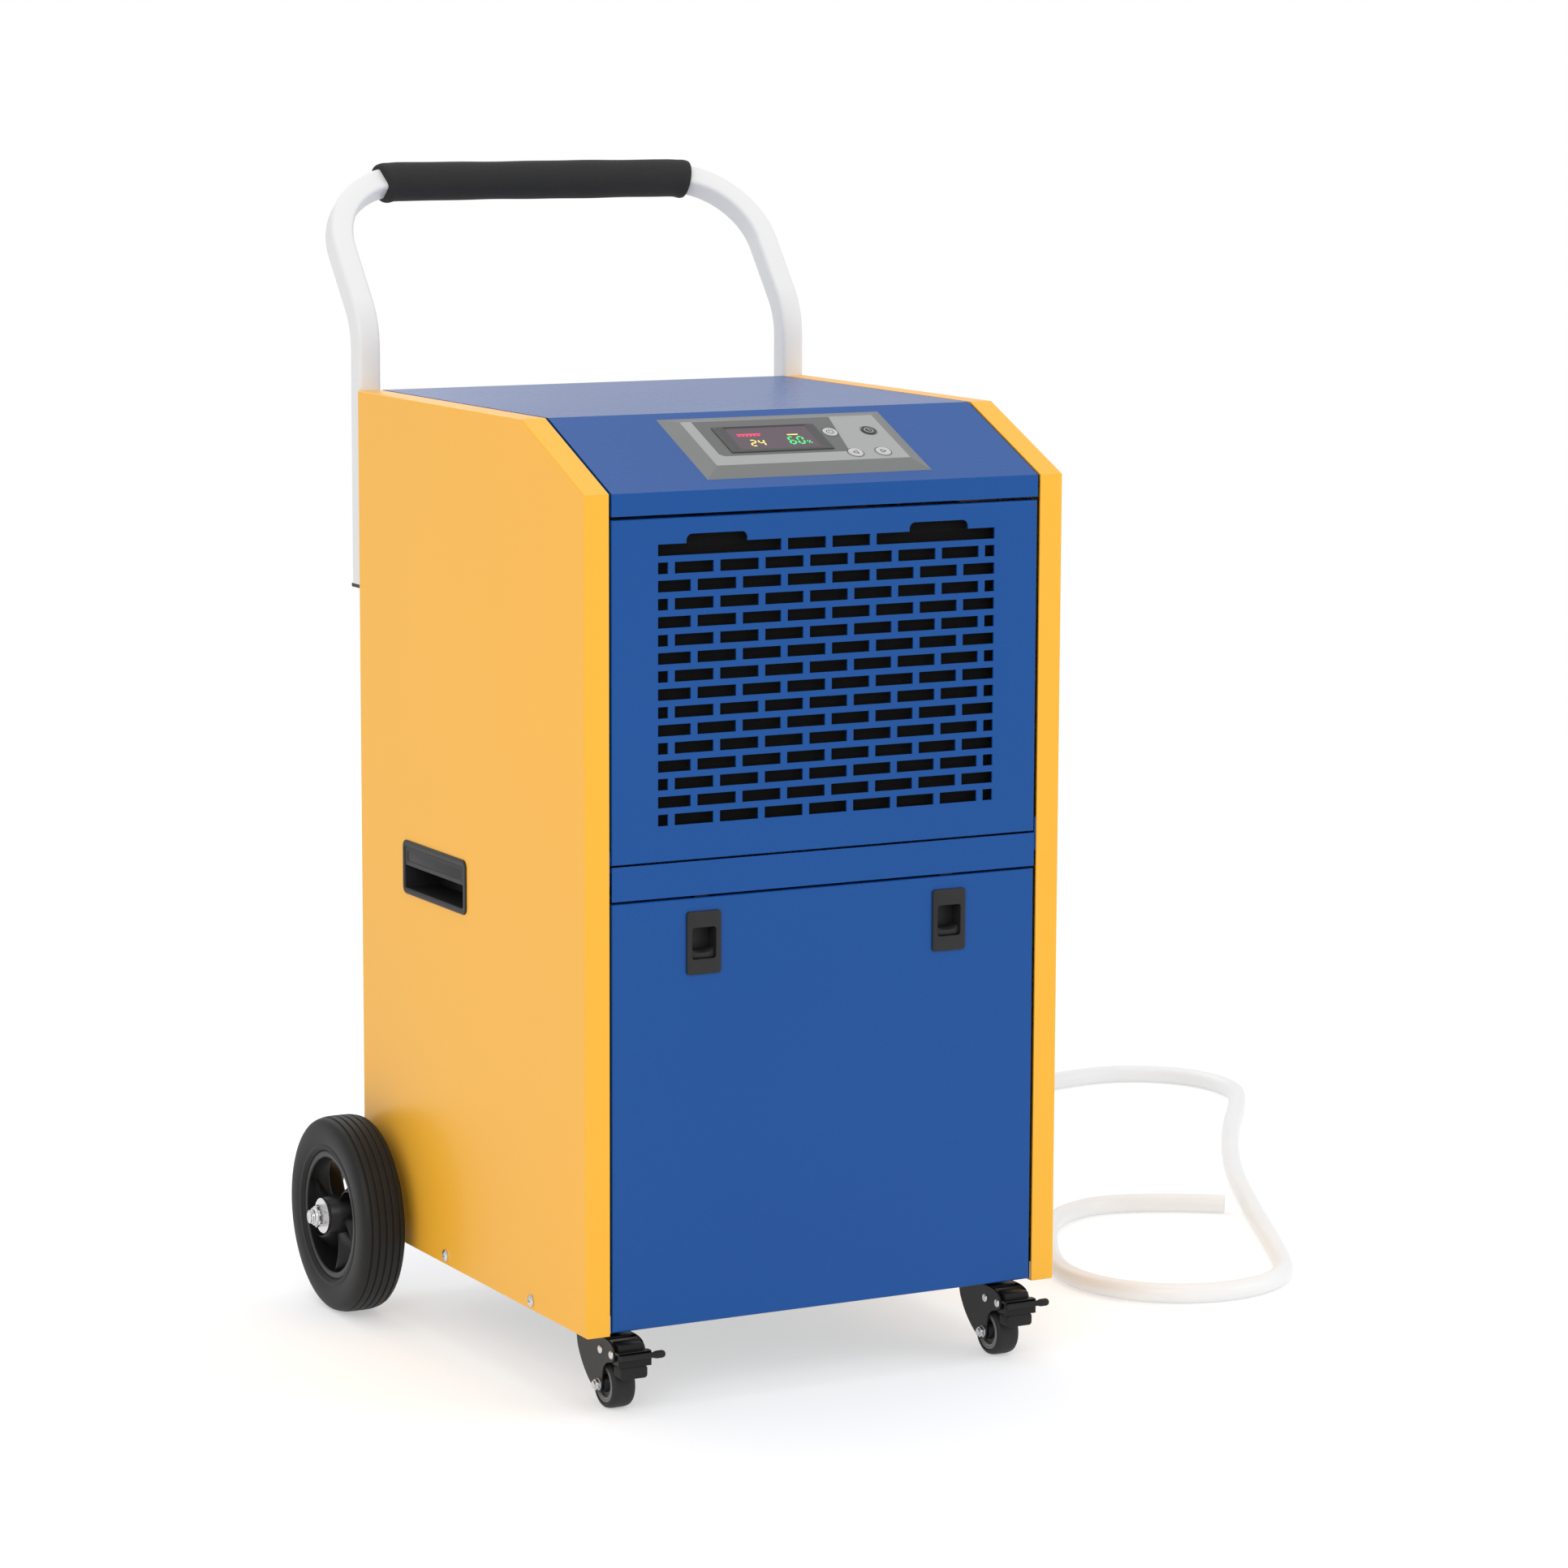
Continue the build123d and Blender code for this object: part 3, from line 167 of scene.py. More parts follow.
class EffectLibrary:
    """Builds each shared effect once and places it in materials."""

    def __init__(self) -> None:
        """Build every group."""
        self.groups = {
            Effect.ORANGE_PEEL: self._orange_peel(),
            Effect.HANDLING: self._handling(),
            Effect.MOULD_GRAIN: self._mould_grain(),
            Effect.LINES: self._lines(),
        }

    @staticmethod
    def _orange_peel() -> bpy.types.NodeTree:
        """Powder coat's soft ripple: wide noise with a finer one on it, and a slow drift of tone."""
        tree = new_group(
            Effect.ORANGE_PEEL.value,
            [("Vector", "NodeSocketVector"), ("Scale", "NodeSocketFloat")],
            ["Height", "Tone"],
        )
        nodes = NodeTree(tree)
        source = nodes.add("NodeGroupInput")
        wide = nodes.add("TexNoise", {"Vector": source.outputs[0], "Scale": source.outputs[1], "Detail": 1.5})
        finer = nodes.maths("MULTIPLY", source.outputs[1], 3.1)
        fine = nodes.add("TexNoise", {"Vector": source.outputs[0], "Scale": finer, "Detail": 1.0})
        height = nodes.maths("ADD", wide.outputs["Fac"], nodes.maths("MULTIPLY", fine.outputs["Fac"], 0.3))
        sink = nodes.add("NodeGroupOutput")
        nodes.feed(sink.inputs[0], height)
        nodes.feed(sink.inputs[1], nodes.noise(source.outputs[0], 3.5, 3.0))
        return tree

    @staticmethod
    def _handling() -> bpy.types.NodeTree:
        """Rub marks: patches of noise cut by thin stretched streaks."""
        tree = new_group(
            Effect.HANDLING.value,
            [("Vector", "NodeSocketVector"), ("Amount", "NodeSocketFloat")],
            ["Mask"],
        )
        nodes = NodeTree(tree)
        source = nodes.add("NodeGroupInput")
        patches = nodes.remap(nodes.noise(source.outputs[0], 9.0, 4.0), -1.4, 2.0)
        stretch = {"Vector": source.outputs[0], "Rotation": (0.3, 0.5, 0.9), "Scale": (8, 90, 8)}
        turned = nodes.add("Mapping", stretch)
        streaks = nodes.remap(nodes.noise(turned.outputs[0], 6.0, 2.0), -2.2, 2.6)
        clipped = nodes.add("Clamp", {"Value": nodes.maths("MULTIPLY", patches, streaks)})
        sink = nodes.add("NodeGroupOutput")
        nodes.feed(sink.inputs[0], nodes.maths("MULTIPLY", clipped.outputs[0], source.outputs[1]))
        return tree

    @staticmethod
    def _mould_grain() -> bpy.types.NodeTree:
        """A spark-eroded mould's grain: pebbles from cell edges, with fine noise."""
        tree = new_group(
            Effect.MOULD_GRAIN.value,
            [("Vector", "NodeSocketVector"), ("Scale", "NodeSocketFloat")],
            ["Height", "Tone"],
        )
        nodes = NodeTree(tree)
        source = nodes.add("NodeGroupInput")
        cells = nodes.add("TexVoronoi", {"Vector": source.outputs[0], "Scale": source.outputs[1]})
        grains = nodes.add(
            "TexNoise", {"Vector": source.outputs[0], "Scale": source.outputs[1], "Detail": 3.0}
        )
        height = nodes.maths("ADD", cells.outputs["Distance"], grains.outputs["Fac"])
        sink = nodes.add("NodeGroupOutput")
        nodes.feed(sink.inputs[0], height)
        nodes.feed(sink.inputs[1], nodes.noise(source.outputs[0], 14.0, 3.0))
        return tree

    @staticmethod
    def _lines() -> bpy.types.NodeTree:
        """Even ridges along one axis: a sine of the distance, scaled per metre."""
        tree = new_group(
            Effect.LINES.value,
            [("Distance", "NodeSocketFloat"), ("Scale", "NodeSocketFloat")],
            ["Height"],
        )
        nodes = NodeTree(tree)
        source = nodes.add("NodeGroupInput")
        turns = nodes.maths("MULTIPLY", source.outputs[0], source.outputs[1])
        phase = nodes.maths("MULTIPLY", turns, math.tau)
        wave = nodes.maths("ADD", nodes.maths("MULTIPLY", nodes.maths("SINE", phase), 0.5), 0.5)
        sink = nodes.add("NodeGroupOutput")
        nodes.feed(sink.inputs[0], wave)
        return tree

    def place(self, nodes: NodeTree, effect: Effect, **inputs: object) -> bpy.types.Node:
        """Add a shared effect to a material.

        Args:
            nodes: The material's nodes.
            effect: The effect.
            **inputs: Values or sockets for the group's inputs.

        Returns:
            The group's node.
        """
        node = nodes.add("Group", node_tree=self.groups[effect])
        for name, value in inputs.items():
            nodes.feed(node.inputs[name], value)
        return node


@dataclass(frozen=True)
class Finish:
    """A surface finish and the record's slot that it belongs to."""

    name: str
    slot: str
    colour: Colour
    roughness: float = 0.45

    def start(self) -> tuple[bpy.types.Material, NodeTree, bpy.types.Node, bpy.types.NodeSocket]:
        """Make an empty material.

        Returns:
            The material, its nodes, its Principled shader and the object's coordinates.
        """
        material = bpy.data.materials.new(self.name)
        material.use_nodes = True
        nodes = NodeTree(material.node_tree)
        shader = material.node_tree.nodes["Principled BSDF"]
        material.diffuse_color = (*self.colour, 1.0)
        where = nodes.add("TexCoord").outputs["Object"]
        return material, nodes, shader, where

    def raise_surface(
        self, nodes: NodeTree, shader: bpy.types.Node, height: bpy.types.NodeSocket, depth: float
    ) -> None:
        """Feed a height, whose full range stands depth metres high, to the shader's normal."""
        bump = nodes.add("Bump", {"Height": height, "Strength": 1.0, "Distance": depth})
        nodes.feed(shader.inputs["Normal"], bump.outputs[0])

    def build(self, effects: EffectLibrary) -> bpy.types.Material:
        """Make the material. Each kind of finish has its own."""
        raise NotImplementedError


@dataclass(frozen=True)
class PowderCoat(Finish):
    """Baked powder paint: orange peel, a slow drift of tone and faint rub marks."""

    peel_scale: float = 520.0
    peel_depth: float = 0.000008
    marks: float = 0.25
    gloss: float = 0.24

    def build(self, effects: EffectLibrary) -> bpy.types.Material:
        """Make the paint's material."""
        material, nodes, shader, where = self.start()
        shader.inputs["Specular IOR Level"].default_value = self.gloss
        peel = effects.place(nodes, Effect.ORANGE_PEEL, Vector=where, Scale=self.peel_scale)
        marks = effects.place(nodes, Effect.HANDLING, Vector=where, Amount=self.marks)
        deep = tuple(channel * 0.95 for channel in self.colour)
        pale = tuple(min(1.0, channel * 1.03 + 0.002) for channel in self.colour)
        tone = nodes.blend(peel.outputs["Tone"], (*deep, 1.0), (*pale, 1.0))
        nodes.feed(shader.inputs["Base Color"], tone)
        rough = nodes.remap(peel.outputs["Tone"], self.roughness - 0.03, self.roughness + 0.03)
        rubbed = nodes.maths("MULTIPLY", marks.outputs["Mask"], 0.12)
        nodes.feed(shader.inputs["Roughness"], nodes.maths("ADD", rough, rubbed))
        self.raise_surface(nodes, shader, peel.outputs["Height"], self.peel_depth)
        return material


@dataclass(frozen=True)
class Moulded(Finish):
    """Moulded plastic or rubber with the mould's grain."""

    grain_scale: float = 1500.0
    grain_depth: float = 0.00003
    marks: float = 0.3
    dust: float = 0.02
    gloss: float = 0.28

    def build(self, effects: EffectLibrary) -> bpy.types.Material:
        """Make the plastic's material."""
        material, nodes, shader, where = self.start()
        shader.inputs["Specular IOR Level"].default_value = self.gloss
        grain = effects.place(nodes, Effect.MOULD_GRAIN, Vector=where, Scale=self.grain_scale)
        marks = effects.place(nodes, Effect.HANDLING, Vector=where, Amount=self.marks)
        worn = tuple(channel * (1 - self.dust) + self.dust * 0.5 for channel in self.colour)
        deep = tuple(channel * 0.86 for channel in self.colour)
        body = nodes.blend(grain.outputs["Tone"], (*deep, 1.0), (*self.colour, 1.0))
        nodes.feed(shader.inputs["Base Color"], nodes.blend(marks.outputs["Mask"], body, (*worn, 1.0)))
        rough = nodes.remap(grain.outputs["Tone"], self.roughness - 0.05, self.roughness + 0.05)
        nodes.feed(shader.inputs["Roughness"], rough)
        self.raise_surface(nodes, shader, grain.outputs["Height"], self.grain_depth)
        return material


@dataclass(frozen=True)
class Metal(Finish):
    """Bare or plated metal with a fine grain and patches of dullness."""

    patch_scale: float = 60.0
    spangle: float = 0.0

    def build(self, effects: EffectLibrary) -> bpy.types.Material:
        """Make the metal's material."""
        material, nodes, shader, where = self.start()
        shader.inputs["Metallic"].default_value = 1.0
        patches = nodes.noise(where, self.patch_scale, 4.0)
        deep = tuple(channel * 0.8 for channel in self.colour)
        tone = nodes.blend(patches, (*deep, 1.0), (*self.colour, 1.0))
        if self.spangle:
            cells = nodes.add("TexVoronoi", {"Vector": where, "Scale": self.spangle})
            shine = nodes.maths("MULTIPLY", cells.outputs["Color"], 0.35)
            tone = nodes.blend(shine, tone, (0.42, 0.44, 0.46, 1.0))
        nodes.feed(shader.inputs["Base Color"], tone)
        rough = nodes.remap(patches, self.roughness - 0.08, self.roughness + 0.1)
        nodes.feed(shader.inputs["Roughness"], rough)
        self.raise_surface(nodes, shader, nodes.noise(where, 900.0, 2.0), 0.000005)
        return material


@dataclass(frozen=True)
class FinStock(Finish):
    """A block of thin upright fins: dark lines across X painted as the shade in the gaps between the fins,
    and bright fin edges.
    """

    pitch: float = 0.0022

    def build(self, effects: EffectLibrary) -> bpy.types.Material:
        """Make the fins' material."""
        material, nodes, shader, where = self.start()
        split = nodes.add("SeparateXYZ", {0: where})
        lines = effects.place(nodes, Effect.LINES, Distance=split.outputs[0], Scale=1 / self.pitch)
        # Painted shade: the gaps between the fins are coloured near black for the shade in them. The fins
        # keep their own colour.
        dark = tuple(channel * 0.08 for channel in self.colour)
        sharp = nodes.maths("POWER", lines.outputs[0], 3.0)
        nodes.feed(shader.inputs["Base Color"], nodes.blend(sharp, (*dark, 1.0), (*self.colour, 1.0)))
        nodes.feed(shader.inputs["Roughness"], nodes.remap(nodes.noise(where, 40.0), 0.35, 0.55))
        shader.inputs["Metallic"].default_value = 0.7
        self.raise_surface(nodes, shader, lines.outputs[0], 0.0006)
        return material


@dataclass(frozen=True)
class MeshCloth(Finish):
    """Fine woven nylon mesh: threads across X and Z over a dark ground painted as the shade seen through the
    gaps.
    """

    pitch: float = 0.0016
    rib_pitch: float = 0.0062

    def build(self, effects: EffectLibrary) -> bpy.types.Material:
        """Make the mesh's material."""
        material, nodes, shader, where = self.start()
        split = nodes.add("SeparateXYZ", {0: where})
        warp = effects.place(nodes, Effect.LINES, Distance=split.outputs[0], Scale=1 / self.pitch)
        weft = effects.place(nodes, Effect.LINES, Distance=split.outputs[2], Scale=1 / self.pitch)
        ribs = effects.place(nodes, Effect.LINES, Distance=split.outputs[2], Scale=1 / self.rib_pitch)
        threads = nodes.maths("MAXIMUM", warp.outputs[0], weft.outputs[0])
        thin = nodes.maths("POWER", threads, 4.0)
        lit = nodes.maths("MULTIPLY", thin, nodes.remap(ribs.outputs[0], 0.35, 1.0))
        # Painted shade: the ground between the threads is coloured darker than the threads for the shade seen
        # through the gaps.
        ground = tuple(channel * 0.15 for channel in self.colour)
        nodes.feed(shader.inputs["Base Color"], nodes.blend(lit, (*ground, 1.0), (*self.colour, 1.0)))
        nodes.feed(shader.inputs["Roughness"], nodes.remap(thin, 0.8, 0.6))
        shader.inputs["Specular IOR Level"].default_value = 0.1
        self.raise_surface(nodes, shader, lit, 0.0003)
        return material


@dataclass(frozen=True)
class ClearHose(Finish):
    """Milky PVC: light passes, with a faint haze and a soft shine."""

    through: float = 0.12

    def build(self, effects: EffectLibrary) -> bpy.types.Material:
        """Make the hose's material."""
        material, nodes, shader, where = self.start()
        shader.inputs["Transmission Weight"].default_value = self.through
        shader.inputs["IOR"].default_value = 1.5
        haze = nodes.noise(where, 24.0, 3.0)
        pale = tuple(min(1.0, channel * 1.02) for channel in self.colour)
        deep = tuple(channel * 0.97 for channel in self.colour)
        nodes.feed(shader.inputs["Base Color"], nodes.blend(haze, (*deep, 1.0), (*pale, 1.0)))
        rough = nodes.remap(haze, self.roughness - 0.05, self.roughness + 0.08)
        nodes.feed(shader.inputs["Roughness"], rough)
        self.raise_surface(nodes, shader, nodes.noise(where, 160.0, 2.0), 0.00008)
        return material


@dataclass(frozen=True)
class SmokedGlass(Finish):
    """The dark display window behind which the readings shine."""

    def build(self, effects: EffectLibrary) -> bpy.types.Material:
        """Make the window's material."""
        material, nodes, shader, where = self.start()
        cloud = nodes.noise(where, 60.0, 3.0)
        deep = tuple(channel * 0.6 for channel in self.colour)
        nodes.feed(shader.inputs["Base Color"], nodes.blend(cloud, (*deep, 1.0), (*self.colour, 1.0)))
        nodes.feed(shader.inputs["Roughness"], nodes.remap(cloud, self.roughness, self.roughness + 0.05))
        shader.inputs["Coat Weight"].default_value = 0.3
        return material


@dataclass(frozen=True)
class Lit(Finish):
    """A lit part of the display: an even glow with the small unevenness of its diode."""

    glow: float = 1.0

    def build(self, effects: EffectLibrary) -> bpy.types.Material:
        """Make the glowing material."""
        material, nodes, shader, where = self.start()
        uneven = nodes.noise(where, 220.0, 2.0)
        dim = tuple(channel * 0.72 for channel in self.colour)
        light = nodes.blend(uneven, (*dim, 1.0), (*self.colour, 1.0))
        nodes.feed(shader.inputs["Base Color"], nodes.blend(uneven, (*dim, 1.0), (*dim, 1.0)))
        nodes.feed(shader.inputs["Emission Color"], light)
        shader.inputs["Emission Strength"].default_value = self.glow
        shader.inputs["Roughness"].default_value = self.roughness
        return material


YELLOW = PowderCoat("yellow_powder_coat", "yellow_paint", (0.86, 0.43, 0.036), 0.30)
BLUE = PowderCoat("blue_powder_coat", "blue_paint", (0.0025, 0.066, 0.272), 0.27)
WHITE = PowderCoat("white_powder_coat", "white_paint", (0.70, 0.70, 0.70), 0.32)
BLACK_PAINT = PowderCoat("black_stamped_steel", "black_steel", (0.006, 0.006, 0.006), 0.34, 800.0)
BLACK_PLASTIC = Moulded("black_moulding", "black_plastic", (0.017, 0.017, 0.018), 0.46)
HUB_PLASTIC = Moulded("black_hub_moulding", "black_plastic", (0.008, 0.008, 0.008), 0.34)
FOAM = Moulded("foam_sleeve", "foam", (0.021, 0.021, 0.021), 0.80, 900.0, 0.00012)
TYRE = Moulded("tyre_rubber", "tyre_rubber", (0.010, 0.010, 0.010), 0.55, 700.0, 0.00004, 0.4, 0.02)
RUBBER = Moulded("black_rubber", "rubber", (0.010, 0.010, 0.010), 0.60)
TREAD = Moulded("caster_tread", "rubber", (0.018, 0.018, 0.018), 0.56, 900.0, 0.00005)
GREY = Moulded("bezel_grey", "grey_plastic", (0.165, 0.168, 0.168), 0.36, 1800.0, 0.00001)
FACE = Moulded("face_light_grey", "grey_plastic", (0.33, 0.335, 0.335), 0.38, 1800.0, 0.00001)
ZONE = Moulded("face_dark_grey", "grey_plastic", (0.112, 0.114, 0.114), 0.40, 1800.0, 0.00001)
FRAME = Moulded("screen_surround", "dark_key", (0.045, 0.045, 0.047), 0.34, 1800.0, 0.00001)
INK = Moulded("printed_ink", "dark_key", (0.060, 0.060, 0.062), 0.50, 1800.0, 0.00001)
KEY = Moulded("light_key", "key_plastic", (0.50, 0.50, 0.49), 0.35, 1800.0, 0.00001)
DARK_KEY = Moulded("dark_key", "dark_key", (0.020, 0.020, 0.021), 0.35, 1800.0, 0.00001)
CORE = Moulded("caster_core_grey", "grey_plastic", (0.20, 0.20, 0.20), 0.40)
WHITE_PLASTIC = Moulded("natural_plastic", "white_plastic", (0.78, 0.78, 0.75), 0.42, 900.0, 0.00002)
BOARD = Moulded("solder_mask", "board", (0.010, 0.085, 0.030), 0.35, 2500.0, 0.00002)
SHELL = PowderCoat("compressor_enamel", "shell", (0.013, 0.013, 0.014), 0.30, 260.0)
ZINC = Metal("zinc_plate", "zinc_steel", (0.72, 0.72, 0.73), 0.26)
GALVANISED = Metal("galvanised_sheet", "galvanised", (0.55, 0.57, 0.59), 0.42, 30.0, 130.0)
COPPER = Metal("drawn_copper", "copper", (0.72, 0.33, 0.18), 0.30)
FINS = FinStock("fin_stock", "fins", (0.62, 0.64, 0.66), 0.4)
FILTER = MeshCloth("filter_mesh", "filter", (0.008, 0.008, 0.009), 0.8)
HOSE = ClearHose("milky_hose", "clear_pvc", (0.90, 0.91, 0.92), 0.34)
GLASS = SmokedGlass("smoked_window", "screen", (0.030, 0.026, 0.030), 0.10)
LIT_GROUND = Lit("display_ground", "screen", (0.060, 0.032, 0.052), 0.25, 0.45)
LIT_RED = Lit("display_red", "screen", (0.90, 0.03, 0.10), 0.3, 0.9)
LIT_YELLOW = Lit("display_yellow", "screen", (0.95, 0.78, 0.16), 0.3, 0.9)
LIT_GREEN = Lit("display_green", "screen", (0.02, 0.75, 0.16), 0.3, 0.9)

NODE_FINISHES: dict[Finish, tuple[str, ...]] = {
    YELLOW: ("left_side_panel", "right_side_panel"),
    BLUE: ("top_cover", "rear_panel", "middle_rail", "grille_panel", "front_door"),
    WHITE: ("handle_tube",),
    BLACK_PAINT: (
        "caster_plates",
        "left_caster_fork",
        "right_caster_fork",
        "left_brake_pedal",
        "right_brake_pedal",
        "fan_motor",
    ),
    BLACK_PLASTIC: (
        "left_pull",
        "right_pull",
        "latch_housings",
        "left_latch_slider",
        "right_latch_slider",
        "handle_end_caps",
        "fan_shroud",
        "fan_impeller",
        "cord_gland",
        "electrical_box",
        "float_switch",
    ),
    HUB_PLASTIC: ("left_hub", "right_hub"),
    FOAM: ("handle_grip",),
    TYRE: ("left_tyre", "right_tyre"),
    RUBBER: ("compressor_feet",),
    TREAD: ("left_caster_wheel", "right_caster_wheel"),
    GREY: ("control_bezel",),
    KEY: ("power_button", "down_button", "up_button"),
    DARK_KEY: ("timer_button",),
    GLASS: ("display_window",),
    BOARD: ("control_board",),
    ZINC: (
        "panel_screws",
        "handle_bolts",
        "rear_axle",
        "axle_fasteners",
        "left_caster_pins",
        "right_caster_pins",
    ),
    GALVANISED: ("base_pan", "partition_shelf", "bay_wall"),
    WHITE_PLASTIC: ("drip_tray", "water_tank", "float_arm", "drain_spout"),
    SHELL: ("compressor", "accumulator"),
    COPPER: ("refrigerant_pipes",),
    FINS: ("evaporator", "condenser"),
    FILTER: ("air_filter",),
    HOSE: ("drain_hose",),
}


# ---- frames, outlines and solids ----------------------------------------------------------------
@dataclass(frozen=True)
class Placement:
    """A flat working plane: an origin in machine millimetres and three unit axes."""

    origin: tuple[float, float, float]
    u: tuple[float, float, float]
    v: tuple[float, float, float]

    @property
    def w(self) -> np.ndarray:
        """The outward normal, u across v."""
        return np.cross(self.u, self.v)

    def at(self, flat: np.ndarray, height: float = 0.0) -> np.ndarray:
        """Turn (u, v) points at a height over the plane into (x, depth, z) points.

        Args:
            flat: Points as an array of shape (n, 2).
            height: Distance along the normal, one number or one for each point.

        Returns:
            An array of shape (n, 3).
        """
        flat = np.atleast_2d(np.asarray(flat, float))
        rise = np.broadcast_to(np.asarray(height, float), flat.shape[:1])
        across = np.outer(flat[:, 0], self.u) + np.outer(flat[:, 1], self.v)
        return np.asarray(self.origin) + across + np.outer(rise, self.w)


class Side(Enum):
    """The machine's left and right, by the sign of X."""

    LEFT = -1
    RIGHT = 1

    @property
    def word(self) -> str:
        """The side's word in node and body names."""
        return self.name.lower()

    def plane(self, x: float, depth: float, z: float) -> Placement:
        """The plane of this side's outer face, with u along the depth and v up."""
        return Placement((self.value * x, depth, z), (0, self.value, 0), (0, 0, 1))


def front_plane(x: float, z: float, depth: float = 0.0) -> Placement:
    """The plane of the front face, with u to the right and v up."""
    return Placement((x, depth, z), (1, 0, 0), (0, 0, 1))


def rear_plane(x: float, z: float, depth: float) -> Placement:
    """A plane facing back, with v up."""
    return Placement((x, depth, z), (-1, 0, 0), (0, 0, 1))


def rectangle(width: float, height: float, radius: float, steps: int = 6) -> np.ndarray:
    """A rounded rectangle about the origin, anticlockwise: a quarter circle about each corner's centre.

    Args:
        width: Size along u.
        height: Size along v.
        radius: Corner radius.
        steps: Points on each corner.

    Returns:
        An array of shape (4 * steps, 2).
    """
    radius = max(radius, 0.01)
    turn = np.linspace(0, math.pi / 2, steps)
    corner = np.arange(4)[:, None] * math.pi / 2 + turn[None, :]
    reach_u = np.array([1, -1, -1, 1])[:, None] * (width / 2 - radius)
    reach_v = np.array([1, 1, -1, -1])[:, None] * (height / 2 - radius)
    points = np.stack([reach_u + radius * np.cos(corner), reach_v + radius * np.sin(corner)], axis=-1)
    return points.reshape(-1, 2)


def circle(radius: float, count: int = 48, start: float = 0.0) -> np.ndarray:
    """A circle about the origin, as an array of shape (count, 2)."""
    turn = start + np.arange(count) * math.tau / count
    return radius * np.stack([np.cos(turn), np.sin(turn)], axis=-1)


def hexagon(flats: float, limit: float, count: int = 72) -> np.ndarray:
    """A hexagon of a width across flats, cut back to a circle.

    The radius is half the flats over the cosine of the angle from the nearest flat's middle, and no
    more than the limit.

    Args:
        flats: Width across flats.
        limit: Largest radius, which rounds the corners.
        count: Number of points.

    Returns:
        An array of shape (count, 2).
    """
    turn = np.arange(count) * math.tau / count
    off = (turn + math.pi / 6) % (math.pi / 3) - math.pi / 6
    radius = np.minimum(flats / 2 / np.cos(off), limit)
    return np.stack([radius * np.cos(turn), radius * np.sin(turn)], axis=-1)


def softened(outline: np.ndarray, cut: float) -> np.ndarray:
    """An outline with its corners rounded, by cutting each corner twice.

    Each cut replaces a corner by the two points that lie a distance along its sides, or a third of a
    shorter side.

    Args:
        outline: Corners as an array of shape (n, 2).
        cut: Distance of the first cut from the corner.

    Returns:
        An array of shape (4n, 2).
    """
    for share in (1.0, 0.42):
        ahead = np.roll(outline, -1, axis=0) - outline
        behind = np.roll(outline, 1, axis=0) - outline
        long_ahead = np.linalg.norm(ahead, axis=1, keepdims=True)
        long_behind = np.linalg.norm(behind, axis=1, keepdims=True)
        first = outline + behind / long_behind * np.minimum(cut * share, long_behind / 3)
        second = outline + ahead / long_ahead * np.minimum(cut * share, long_ahead / 3)
        outline = np.stack([first, second], axis=1).reshape(-1, 2)
    return outline


@dataclass
class Solid:
    """One closed shell: points, four-sided faces and many-sided end faces."""

    points: np.ndarray
    quads: np.ndarray
    ends: list[list[int]] = field(default_factory=list)

    def volume(self) -> float:
        """Signed volume: the sum over triangles of the first point dotted with the others' cross."""
        corners = [self.quads[:, [0, 1, 2]], self.quads[:, [0, 2, 3]]]
        for end in self.ends:
            fan = np.array(end)
            corners.append(np.stack([np.full(len(fan) - 2, fan[0]), fan[1:-1], fan[2:]], axis=1))
        a, b, c = self.points[np.concatenate(corners)].transpose(1, 0, 2)
        return float(np.einsum("ij,ij->i", a, np.cross(b, c)).sum() / 6)

    def outward(self) -> "Solid":
        """The same shell with its faces pointing out."""
        if self.volume() < 0:
            self.quads = self.quads[:, ::-1]
            self.ends = [end[::-1] for end in self.ends]
        return self

    def mirrored(self, sign: int) -> "Solid":
        """The shell on the machine's other side when sign is negative."""
        if sign > 0:
            return self
        return Solid(self.points * (-1, 1, 1), self.quads, self.ends).outward()


def shell(grid: np.ndarray, joined: bool = False) -> Solid:
    """A closed shell from a grid of points whose columns go round.

    Args:
        grid: Points of shape (rows, columns, 3).
        joined: True if the last row joins the first, and otherwise both end rows are closed by a face.

    Returns:
        The shell with its faces pointing out.
    """
    rows, columns = grid.shape[:2]
    index = np.arange(rows * columns).reshape(rows, columns)
    if joined:
        index = np.concatenate([index, index[:1]])
    here, after = index[:-1], index[1:]
    quads = np.stack([here, np.roll(here, -1, axis=1), np.roll(after, -1, axis=1), after], axis=-1)
    ends = [] if joined else [index[0][::-1].tolist(), index[-1].tolist()]
    return Solid(grid.reshape(-1, 3), quads.reshape(-1, 4), ends).outward()


def loft(place: Placement, loops: Iterable[tuple[np.ndarray, float]], joined: bool = False) -> Solid:
    """A shell through flat loops of equal count, each at its height over a plane."""
    return shell(np.stack([place.at(loop, height) for loop, height in loops]), joined)


def plate(
    place: Placement, size: tuple[float, float], radius: float, span: tuple[float, float], edge: float
) -> Solid:
    """A rounded plate from one height to another, with its upper edge chamfered and rounded.

    Args:
        place: The plane it lies on.
        size: Width and height.
        radius: Corner radius.
        span: Lower and upper height.
        edge: Width of the rounded edge.

    Returns:
        The plate.
    """
    width, height = size
    low, high = span
    turn = np.linspace(0, math.pi / 2, 4)
    loops = [(rectangle(width, height, radius), low)]
    for inset, rise in zip(edge * (1 - np.cos(turn)), edge * np.sin(turn)):
        loop = rectangle(width - 2 * inset, height - 2 * inset, radius - inset)
        loops.append((loop, high - edge + rise))
    return loft(place, loops)


